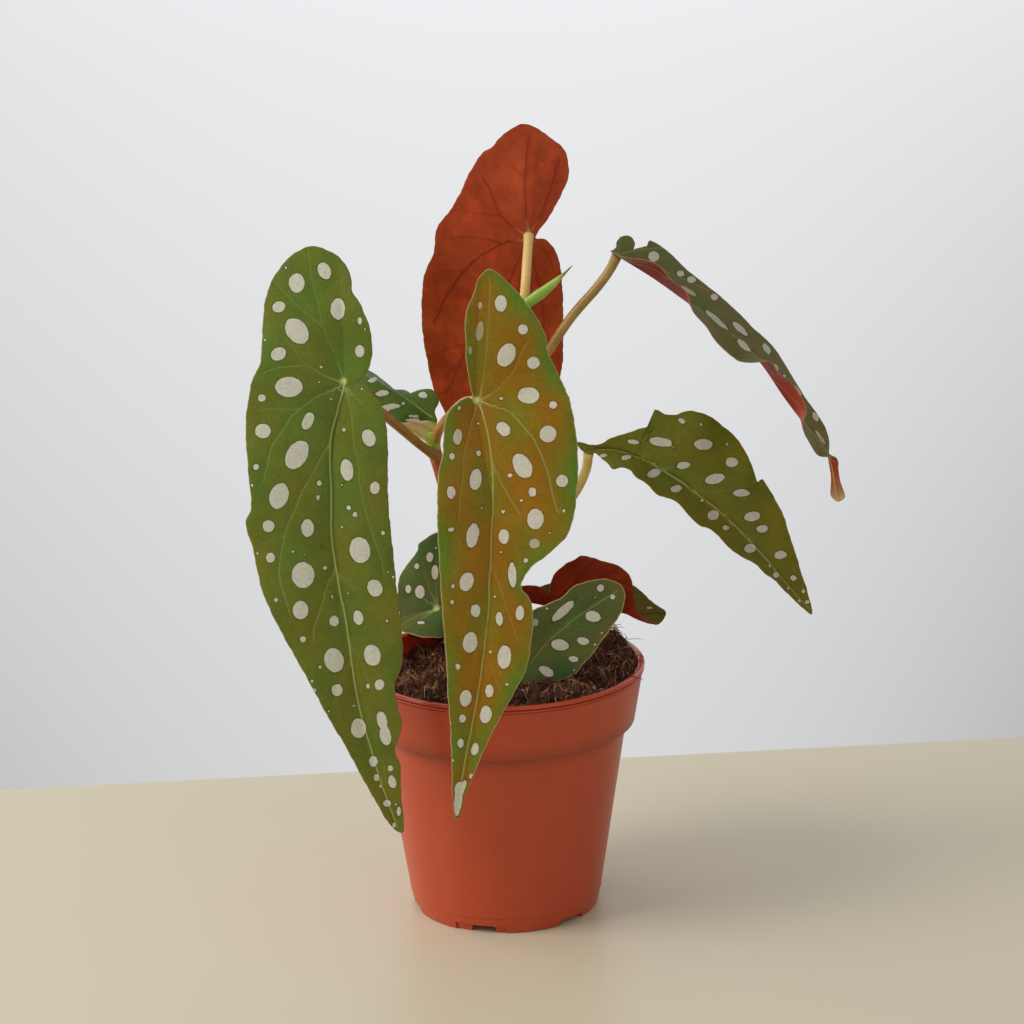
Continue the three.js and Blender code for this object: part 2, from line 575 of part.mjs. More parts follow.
    midrib: [[20, 27, 124], [30, 28, 121.8], [45, 29, 121], [54, 30, 118.8], [61, 31, 115],
      [69, 32, 112.5]],
    petioleAt: 0,
    facing: [[0, 0.1, 0.1, 1], [50, 0.2, 0.1, 1]],
    fold: [[0, 75, 60, 0, 0], [25, 75, 60, 0, 0], [50, 60, 60, 0, 0]],
    wave: [0.5, 24, 20, 0],
    spine: [[3, 0], [42, 1]],
    outline: [[-0.3, -6.2], [-0.4, -13], [1, -17.2], [4.8, -22.5], [11.4, -25.7], [16, -25.5],
      [22.6, -22.3],
      [27.3, -21.4], [29.5, -19.9], [31.5, -16.8], [34, -10.5], [36.1, -5.6], [39.5, -2.6], [45, -1],
      [50.2, 0.6],
      [52.3, 4], [52.3, 6.7], [48, 8.8], [42.5, 11.2], [36, 13], [28, 14.5], [16, 14], [5, 11.5], [-4, 8],
      [-11, 4.5], [-14.5, 0], [-14.5, -5], [-12.5, -7.3], [-9, -8], [-4.8, -7.8], [-2, -6.9]],
    perSpan: 2,
    rings: 2,
    material: 'redLeaf',
    petiole: [[11, 19.5, 108], [12, 22, 115], [15, 25, 120], [20, 27.5, 126]],
    from: 'cane_low',
  },
};

// ---- the papery stipule at the left cane's upper joint, and the new shoot on top ----
const stipule = {
  midrib: [[-27, 1, 204], [-31, 1, 207], [-36, 0, 209.7], [-41, -1, 212]],
  petioleAt: 0,
  facing: [[0, 0.1, -0.8, 0.6], [16, 0.1, -0.8, 0.6]],
  fold: [[0, 30, 40, 1.5, 1.5], [16, 30, 30, 0, 0]],
  wave: [0, 20, 10, 0],
  spine: [[4, 0], [12, 0]],
  outline: [[0, 3], [3, 4.5], [7, 4], [11, 2.8], [16, 0.6], [16, -0.6], [11, -2.6], [6, -3.6], [2, -3],
    [0, 0]],
  perSpan: 2,
  rings: 2,
};

const BUD_LENGTH = 27;
const BUD_RADIUS = 2.1;
function bud() {
  const profile = [[0, 0], [BUD_RADIUS * 0.8, 0.4], [BUD_RADIUS, 4], [BUD_RADIUS * 0.9, 11],
    [BUD_RADIUS * 0.5, 20],
    [0.3, BUD_LENGTH - 0.4], [0, BUD_LENGTH]];
  const spindle = new THREE.LatheGeometry(profile.map(([r, h]) => new THREE.Vector2(r, h)), 10);
  const from = new THREE.Vector3(10.5, -1, 261.5);
  const to = new THREE.Vector3(32, -3, 279);
  const along = to.clone().sub(from).normalize();
  const turn = new THREE.Quaternion().setFromUnitVectors(new THREE.Vector3(0, 1, 0), along);
  spindle.applyQuaternion(turn);
  spindle.translate(from.x, from.y, from.z);
  return facingOut(spindle);
}

// ---- assembly ----
const grownCane = (name, gap) => stem(canes[name], CANE_RADIUS + gap, 10, 12);

addPiece('nursery_pot', pot(), 'pot');
const aroundCanes = Object.keys(canes).map((name) => grownCane(name, SEAT_GAP));
addPiece('potting_soil', trimmed(soil(), aroundCanes), 'soil');
for (const name of Object.keys(canes)) {
  addPiece(name, grownCane(name, 0), 'cane');
}
for (const [name, leaf] of Object.entries(leaves)) {
  const radius = name.includes('low') ? PETIOLE_RADIUS_SMALL : PETIOLE_RADIUS;
  const grownBlade = blade(leaf, BLADE_THICKNESS + 2 * BLADE_SEAT_GAP, BLADE_SEAT_GAP);
  const cutters = [grownBlade, grownCane(leaf.from, SEAT_GAP)];
  addPiece(`blade_${name}`, blade(leaf, BLADE_THICKNESS), leaf.material);
  addPiece(`petiole_${name}`, trimmed(stem(leaf.petiole, radius, 8, 9), cutters), 'petiole');
}
const leftPetioles = ['front_left', 'front_centre', 'back_left'].map((name) =>
  stem(leaves[name].petiole, PETIOLE_RADIUS + SEAT_GAP, 8, 9));
const aroundStipule = [grownCane('cane_left', SEAT_GAP), ...leftPetioles];
addPiece('stipule_left', trimmed(blade(stipule, BLADE_THICKNESS), aroundStipule), 'stipule');
const topPetiole = stem(leaves.back_top.petiole, PETIOLE_RADIUS + SEAT_GAP, 8, 9);
addPiece('shoot_top', trimmed(bud(), [grownCane('cane_right', SEAT_GAP), topPetiole]), 'bud');

export default plant;
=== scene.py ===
import math
import bpy
import numpy as np
from mathutils import Matrix, Vector


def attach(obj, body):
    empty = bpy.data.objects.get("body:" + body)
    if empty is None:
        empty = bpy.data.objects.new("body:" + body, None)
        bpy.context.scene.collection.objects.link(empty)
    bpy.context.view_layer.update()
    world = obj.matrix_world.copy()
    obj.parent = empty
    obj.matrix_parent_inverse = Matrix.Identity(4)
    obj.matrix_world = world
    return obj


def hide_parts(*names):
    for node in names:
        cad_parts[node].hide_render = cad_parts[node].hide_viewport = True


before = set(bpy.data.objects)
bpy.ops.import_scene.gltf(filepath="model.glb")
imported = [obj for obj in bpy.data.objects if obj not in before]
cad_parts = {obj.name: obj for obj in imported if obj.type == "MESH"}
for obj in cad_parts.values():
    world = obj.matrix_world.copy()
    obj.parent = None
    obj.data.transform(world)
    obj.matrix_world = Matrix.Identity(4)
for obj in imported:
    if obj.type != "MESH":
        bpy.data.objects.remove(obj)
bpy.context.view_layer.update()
mm = 0.001


# Camera: a pinhole fitted to the pot's rim, step and foot in the photograph
cameraFit = {
    "place": [4.1, -1230.8, 513.3],
    "pitch": 15.419,
    "yaw": 0.062,
    "roll": -1.03,
    "focalPixels": 3038.2,
    "framePixels": 1024,
    "sensor": 36,
}


def cameraAxes():
    # ahead from yaw and pitch; right lies level and is then rolled with up about the line of sight
    pitch, yaw, roll = (math.radians(cameraFit[k]) for k in ("pitch", "yaw", "roll"))
    ahead = np.array([math.sin(yaw) * math.cos(pitch), math.cos(yaw) * math.cos(pitch), -math.sin(pitch)])
    level = np.array([math.cos(yaw), -math.sin(yaw), 0.0])
    above = np.cross(level, ahead)
    right = math.cos(roll) * level + math.sin(roll) * above
    up = -math.sin(roll) * level + math.cos(roll) * above
    return right, up, ahead


def photoPixels(points):
    # where points in millimetres fall in the photograph: sideways and downward shares of their distance
    right, up, ahead = cameraAxes()
    away = points - np.array(cameraFit["place"])
    depth = away @ ahead
    scale = cameraFit["focalPixels"] / depth
    centre = cameraFit["framePixels"] / 2
    return np.stack([centre + (away @ right) * scale, centre - (away @ up) * scale], -1)


def makeCamera():
    right, up, ahead = cameraAxes()
    data = bpy.data.cameras.new("photoCamera")
    data.sensor_width = cameraFit["sensor"]
    data.lens = cameraFit["focalPixels"] * cameraFit["sensor"] / cameraFit["framePixels"]
    data.clip_start = 0.05
    data.clip_end = 20
    camera = bpy.data.objects.new("photoCamera", data)
    turn = Matrix([right, up, -ahead]).transposed().to_4x4()
    camera.matrix_world = Matrix.Translation(Vector(cameraFit["place"]) * mm) @ turn
    bpy.context.collection.objects.link(camera)
    bpy.context.scene.camera = camera


# Colours and nodes
def linear(hexColour):
    # sRGB hex to linear RGB: a straight piece near black, then a power of 2.4
    shares = [int(hexColour[i:i + 2], 16) / 255 for i in (1, 3, 5)]
    return tuple(v / 12.92 if v <= 0.04045 else ((v + 0.055) / 1.055) ** 2.4 for v in shares) + (1.0,)


def add(tree, kind, inputs=None, **settings):
    # one node, its settings, and each input given a value or a link from another node's socket
    made = tree.nodes.new(kind)
    for name, value in settings.items():
        setattr(made, name, value)
    for name, value in (inputs or {}).items():
        socket = made.inputs[name]
        if isinstance(value, bpy.types.NodeSocket):
            tree.links.new(value, socket)
        else:
            socket.default_value = value
    return made


def newMaterial(name):
    material = bpy.data.materials.new(name)
    material.use_nodes = True
    material.node_tree.nodes.clear()
    return material, material.node_tree


def ramp(tree, value, stops):
    # a colour ramp with stops [position, hex colour or grey share]
    made = add(tree, "ShaderNodeValToRGB", {"Fac": value})
    marks = made.color_ramp.elements
    while len(marks) < len(stops):
        marks.new(1.0)
    for mark, (position, colour) in zip(marks, stops):
        mark.position = position
        mark.color = linear(colour) if isinstance(colour, str) else (colour, colour, colour, 1)
    return made.outputs["Color"]


def mixed(tree, share, first, second, blend="MIX"):
    made = add(tree, "ShaderNodeMix", data_type="RGBA", blend_type=blend)
    for index, value in ((0, share), (6, first), (7, second)):
        if isinstance(value, bpy.types.NodeSocket):
            tree.links.new(value, made.inputs[index])
        else:
            made.inputs[index].default_value = value
    return made.outputs[2]


def sums(tree, operation, first, second=0.0, third=0.0, clamp=False):
    made = add(tree, "ShaderNodeMath", operation=operation, use_clamp=clamp)
    for index, value in enumerate((first, second, third)):
        if isinstance(value, bpy.types.NodeSocket):
            tree.links.new(value, made.inputs[index])
        else:
            made.inputs[index].default_value = value
    return made.outputs[0]


def within(tree, value, full, none):
    # 1 where value is at or under full, falling smoothly to 0 at none
    made = add(tree, "ShaderNodeMapRange", {"Value": value}, interpolation_type="SMOOTHSTEP")
    for name, setting in (("From Min", full), ("From Max", none), ("To Min", 1.0), ("To Max", 0.0)):
        made.inputs[name].default_value = setting
    return made.outputs["Result"]


def noise(tree, coordinates, sizeMm, detail=2.0, roughness=0.5):
    made = add(tree, "ShaderNodeTexNoise", {"Vector": coordinates, "Scale": 1000.0 / sizeMm,
                                            "Detail": detail, "Roughness": roughness})
    return made.outputs["Fac"]


def attribute(tree, name, socket="Fac"):
    return add(tree, "ShaderNodeAttribute", attribute_name=name).outputs[socket]


# Curves and meshes
def smoothCurve(points, perSpan, closed=False):
    # uniform Catmull-Rom: each span is a cubic whose end slopes are half the step between its neighbours
    p = np.asarray(points, float)
    if closed:
        p = np.vstack([p[-1:], p, p[:2]])
    else:
        p = np.vstack([2 * p[:1] - p[1:2], p, 2 * p[-1:] - p[-2:-1]])
    t = np.linspace(0, 1, perSpan, endpoint=False)[None, :, None]
    a, b, c, d = (p[i:len(p) - 3 + i][:, None, :] for i in range(4))
    spans = (2 * t**3 - 3 * t**2 + 1) * b + (t**3 - 2 * t**2 + t) * (c - a) / 2
    spans = spans + (3 * t**2 - 2 * t**3) * c + (t**3 - t**2) * (d - b) / 2
    flat = spans.reshape(-1, p.shape[1])
    return flat if closed else np.vstack([flat, p[-2:-1]])


def evenly(points, spacing, closed=False):
    # the same line with its points an even length apart
    line = np.vstack([points, points[:1]]) if closed else np.asarray(points, float)
    lengths = np.concatenate([[0], np.cumsum(np.linalg.norm(np.diff(line, axis=0), axis=1))])
    count = max(8, int(round(lengths[-1] / spacing)))
    marks = np.linspace(0, lengths[-1], count, endpoint=not closed)
    return np.stack([np.interp(marks, lengths, line[:, i]) for i in range(line.shape[1])], -1)


def stationValues(stations, along):
    # cubic pieces through [along, values...] with centred slopes, held level beyond the ends
    s = np.asarray(stations, float)
    x, v = s[:, 0], s[:, 1:]
    before = np.maximum(np.arange(len(x)) - 1, 0)
    after = np.minimum(np.arange(len(x)) + 1, len(x) - 1)
    slopes = (v[after] - v[before]) / (x[after] - x[before])[:, None]
    at = np.clip(along, x[0], x[-1])
    i = np.clip(np.searchsorted(x, at, side="right") - 1, 0, len(x) - 2)
    width = (x[i + 1] - x[i])[..., None]
    t = (at - x[i])[..., None] / width
    ends = (2 * t**3 - 3 * t**2 + 1) * v[i] + (3 * t**2 - 2 * t**3) * v[i + 1]
    return ends + width * ((t**3 - 2 * t**2 + t) * slopes[i] + (t**3 - t**2) * slopes[i + 1])


def makePiece(name, points, faces, materials, faceSlots=None, fields=None, flat=None, node=()):
    # a mesh from arrays: points in millimetres, lists of faces, a float or colour field for each point
    mesh = bpy.data.meshes.new(name)
    mesh.from_pydata(np.asarray(points) * mm, [], faces)
    for material in materials:
        mesh.materials.append(material)
    if faceSlots is not None:
        mesh.polygons.foreach_set("material_index", np.asarray(faceSlots, np.int32))
    corner = np.empty(len(mesh.loops), np.int32)
    mesh.loops.foreach_get("vertex_index", corner)
    if flat is not None:
        layer = mesh.uv_layers.new(name="flatPlace")
        layer.data.foreach_set("uv", (np.asarray(flat)[corner] * mm * 10).ravel().astype(np.float32))
    for field, values in (fields or {}).items():
        values = np.asarray(values, np.float32)
        if values.ndim == 1:
            mesh.attributes.new(field, "FLOAT", "POINT").data.foreach_set("value", values)
        else:
            values = np.hstack([values[:, :3], np.ones((len(values), 1), np.float32)])
            mesh.attributes.new(field, "FLOAT_COLOR", "POINT").data.foreach_set("color", values.ravel())
    mesh.polygons.foreach_set("use_smooth", np.ones(len(mesh.polygons), bool))
    mesh.update()
    piece = bpy.data.objects.new(name, mesh)
    bpy.context.collection.objects.link(piece)
    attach(piece, "root")
    if node:
        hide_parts(*node)
    return piece


def gridFaces(rows, columns, start=0, closedColumns=True):
    # quads between neighbouring rows of a grid, wrapped round where the columns close
    i = np.arange(rows - 1)[:, None]
    j = np.arange(columns if closedColumns else columns - 1)[None, :]
    k = (j + 1) % columns
    corners = [i * columns + j, i * columns + k, (i + 1) * columns + k, (i + 1) * columns + j]
    return (np.stack([c + 0 * i * j for c in corners], -1).reshape(-1, 4) + start).tolist()


def tube(path, radii, sides=14, squeeze=1.0):
    # a round section carried along a path: rings turned so that they never twist, closed by end points
    path = np.asarray(path, float)
    ahead = np.gradient(path, axis=0)
    ahead /= np.linalg.norm(ahead, axis=1)[:, None]
    side = np.empty_like(path)
    start = np.cross(ahead[0], [0.3, 0.9, 0.2])
    for i, direction in enumerate(ahead):
        start = start - direction * (start @ direction)
        start = start / np.linalg.norm(start)
        side[i] = start
    other = np.cross(ahead, side)
    turn = np.linspace(0, 2 * np.pi, sides, endpoint=False)
    radii = np.broadcast_to(radii, len(path))[:, None, None]
    rings = side[:, None] * np.cos(turn)[None, :, None]
    rings = rings + other[:, None] * np.sin(turn)[None, :, None] * squeeze
    points = (path[:, None] + rings * radii).reshape(-1, 3)
    rows = len(path)
    faces = gridFaces(rows, sides)
    first, last = len(points), len(points) + 1
    points = np.vstack([points, path[:1], path[-1:]])
    for j in range(sides):
        k = (j + 1) % sides
        faces.append([first, k, j])
        faces.append([last, (rows - 1) * sides + j, (rows - 1) * sides + k])
    along = np.repeat(np.linspace(0, 1, rows), sides)
    return points, faces, np.concatenate([along, [0, 1]])


# Leaf materials
leafFinish = {
    "roughness": 0.48,
    "specular": 0.18,
    "tintLift": 1.3,            # makes up for what the grain takes off a tint
    "through": 0.16,            # of the light that falls on it, what shines through a blade
    "cellSize": 3.4,            # mm between the finest veins
    "grainSize": 0.8,           # mm, the skin's bead-like cells, drawn as coarse as the render can show
    "dot": "#ECEEE2",
    "dotShade": "#B2B7A6",
    "dotCorner": 0.55,          # mm that a dot's outline wanders
    "navel": "#DCE58A",
    "marginWidth": 0.42,        # mm
}


def leafSkin(name, tintField, upper):
    # Begonia leaf blade, grown. The eye gets a satin skin with a cell-like grain, fine sunk veins on the
    # upper face or raised ones below, pale dots with a thin dark line round them, and a dry tan margin.
    material, tree = newMaterial(name)
    place = add(tree, "ShaderNodeTexCoord").outputs["Object"]
    flatPlace = add(tree, "ShaderNodeUVMap", uv_map="flatPlace").outputs["UV"]
    tint = attribute(tree, tintField, "Color")
    lineTint = attribute(tree, "lineTint", "Color")
    marginTint = attribute(tree, "marginTint", "Color")
    veinGap = attribute(tree, "veinGap")
    veinSide = sums(tree, "ABSOLUTE", attribute(tree, "veinSide"))
    veinWeight = attribute(tree, "veinWeight")
    veinShade = attribute(tree, "veinShade")
    dotGap = attribute(tree, "dotGap")
    dotStrength = attribute(tree, "dotStrength")
    edgeGap = attribute(tree, "edgeGap")
    navelGap = attribute(tree, "navelGap")

    broad = noise(tree, place, 14, detail=3)
    patchy = noise(tree, place, 4.5, detail=2)
    grain = noise(tree, place, leafFinish["grainSize"], detail=1)
    cells = add(tree, "ShaderNodeTexVoronoi", {"Vector": flatPlace, "Scale": 100 / leafFinish["cellSize"]},
                feature="DISTANCE_TO_EDGE").outputs["Distance"]
    cellLines = within(tree, cells, 0.02, 0.09)
    colour = mixed(tree, 1.0, tint, ramp(tree, broad, [[0.3, 0.84], [0.7, 1.0]]), "MULTIPLY")
    colour = mixed(tree, 1.0, colour, ramp(tree, patchy, [[0.3, 0.9], [0.7, 1.0]]), "MULTIPLY")
    colour = mixed(tree, 1.0, colour, ramp(tree, grain, [[0.3, 0.8], [0.7, 1.0]]), "MULTIPLY")
    colour = mixed(tree, sums(tree, "MULTIPLY", cellLines, 0.09), colour,
                   mixed(tree, 1.0, tint, (0.6, 0.6, 0.6, 1), "MULTIPLY"))

    band = sums(tree, "MULTIPLY", within(tree, veinGap, 0.1, 1.7), veinWeight)
    line = sums(tree, "MULTIPLY", within(tree, veinSide, 0.1, 0.5), within(tree, veinGap, 0.8, 1.3))
    line = sums(tree, "MULTIPLY", line, veinWeight)
    if upper:
        bandColour = mixed(tree, 1.0, tint, (0.66, 0.7, 0.62, 1), "MULTIPLY")
        colour = mixed(tree, sums(tree, "MULTIPLY", band, 0.3), colour, bandColour)
        colour = mixed(tree, sums(tree, "MULTIPLY", veinShade, 0.75), colour,
                       mixed(tree, 1.0, tint, (0.3, 0.34, 0.34, 1), "MULTIPLY"))
        strong = sums(tree, "MULTIPLY", line, veinWeight)
        colour = mixed(tree, sums(tree, "MULTIPLY", strong, 0.85), colour, lineTint)
        rays = sums(tree, "MULTIPLY", line, within(tree, navelGap, 2, 10))
        colour = mixed(tree, sums(tree, "MULTIPLY", rays, 0.6), colour, linear("#D2DC96"))
        colour = mixed(tree, within(tree, navelGap, 0.5, 2.2), colour, linear(leafFinish["navel"]))
    else:
        # painted light: brighter patches of light coming through the underside
        glowing = ramp(tree, noise(tree, place, 9, detail=4), [[0.42, 0.0], [0.7, 0.3]])
        colour = mixed(tree, glowing, colour, mixed(tree, 1.0, tint, (1.35, 1.9, 1.7, 1), "MULTIPLY"))
        bandColour = mixed(tree, 1.0, tint, (0.62, 0.5, 0.5, 1), "MULTIPLY")
        colour = mixed(tree, sums(tree, "MULTIPLY", band, 0.35), colour, bandColour)
        colour = mixed(tree, sums(tree, "MULTIPLY", line, 0.8), colour, lineTint)
        rays = sums(tree, "MULTIPLY", line, within(tree, navelGap, 2, 9))
        colour = mixed(tree, sums(tree, "MULTIPLY", rays, 0.8), colour, linear("#E0C48C"))
        colour = mixed(tree, within(tree, navelGap, 0.6, 2.6), colour, linear("#E6D6A0"))

    wander = sums(tree, "MULTIPLY", sums(tree, "SUBTRACT", noise(tree, place, 2.4, detail=1), 0.5),
                  leafFinish["dotCorner"])
    ragged = sums(tree, "ADD", dotGap, wander)
    ragged = sums(tree, "ADD", ragged, sums(tree, "MULTIPLY", sums(tree, "SUBTRACT", grain, 0.5), 0.22))
    outsideRim = sums(tree, "ABSOLUTE", sums(tree, "SUBTRACT", ragged, 0.26))
    fill = sums(tree, "MULTIPLY", within(tree, ragged, -0.05, 0.14), dotStrength)
    if upper:
        rim = sums(tree, "MULTIPLY", within(tree, outsideRim, 0.04, 0.36),
                   sums(tree, "MULTIPLY", dotStrength, 0.5))
        colour = mixed(tree, rim, colour, mixed(tree, 1.0, tint, (0.26, 0.28, 0.24, 1), "MULTIPLY"))
        mottle = ramp(tree, noise(tree, place, 1.1, detail=2), [[0.38, 0.0], [0.7, 0.35]])
        pale = mixed(tree, mottle, linear(leafFinish["dot"]), linear(leafFinish["dotShade"]))
        pale = mixed(tree, 0.1, pale, tint)
        colour = mixed(tree, fill, colour, pale)
    margin = sums(tree, "MULTIPLY", within(tree, edgeGap, 0.08, leafFinish["marginWidth"]), 0.9)
    colour = mixed(tree, margin, colour,
                   mixed(tree, 1.0, marginTint, ramp(tree, patchy, [[0.3, 0.75], [0.7, 1.0]]), "MULTIPLY"))

    relief = sums(tree, "MULTIPLY", cellLines, -0.1 if upper else 0.1)
    relief = sums(tree, "ADD", relief, sums(tree, "MULTIPLY", grain, 0.55))
    relief = sums(tree, "ADD", relief, sums(tree, "MULTIPLY", fill, 0.3))
    bump = add(tree, "ShaderNodeBump", {"Height": relief, "Strength": 0.5, "Distance": 0.00018})
    gloss = ramp(tree, broad, [[0.3, leafFinish["roughness"] - 0.05], [0.7, leafFinish["roughness"] + 0.07]])
    skin = add(tree, "ShaderNodeBsdfPrincipled",
               {"Base Color": colour, "Roughness": gloss, "Normal": bump.outputs["Normal"],
                "Specular IOR Level": leafFinish["specular"]})
    shine = mixed(tree, 0.5, colour, linear("#9CB82E" if upper else "#E8501E"))
    through = add(tree, "ShaderNodeBsdfTranslucent", {"Color": shine})
    both = add(tree, "ShaderNodeMixShader",
               {0: attribute(tree, "through"), 1: skin.outputs[0], 2: through.outputs[0]})
    add(tree, "ShaderNodeOutputMaterial", {"Surface": both.outputs[0]})
    return material


# Leaf colours. The upper face runs from green to a darker shaded green, which is painted shade, then to
# bronze as it ages. The underside runs from wine to a bright lit red where light comes through it, which is
# painted light, and the edge dries from rust to straw.
leafColours = {
    "green": "#5E8A2A", "shadedGreen": "#446640", "bronze": "#9C7014", "wine": "#8A1E1A", "litRed": "#EE6A40",
    "rust": "#8E5224", "straw": "#DCC494", "pale": "#AAC27C",
}
leafColourMake = {
    "waveLength": 52.0, "waveWidth": 34.0,      # mm, of the slow waves in a blade's colour
    "swing": 0.1,               # share that the waves add and take
    "towardTip": 0.15,          # share that age and the painted glow gain at the tip
    "greenEdge": 8.0,           # mm that a green edge reaches in
    "dryTip": 4.0,              # mm that a dry tip reaches back
    "lineShare": 0.6,           # how far a vein's line is moved to pale
    "lineDark": 0.3,            # how much of its colour a line on the underside keeps
}
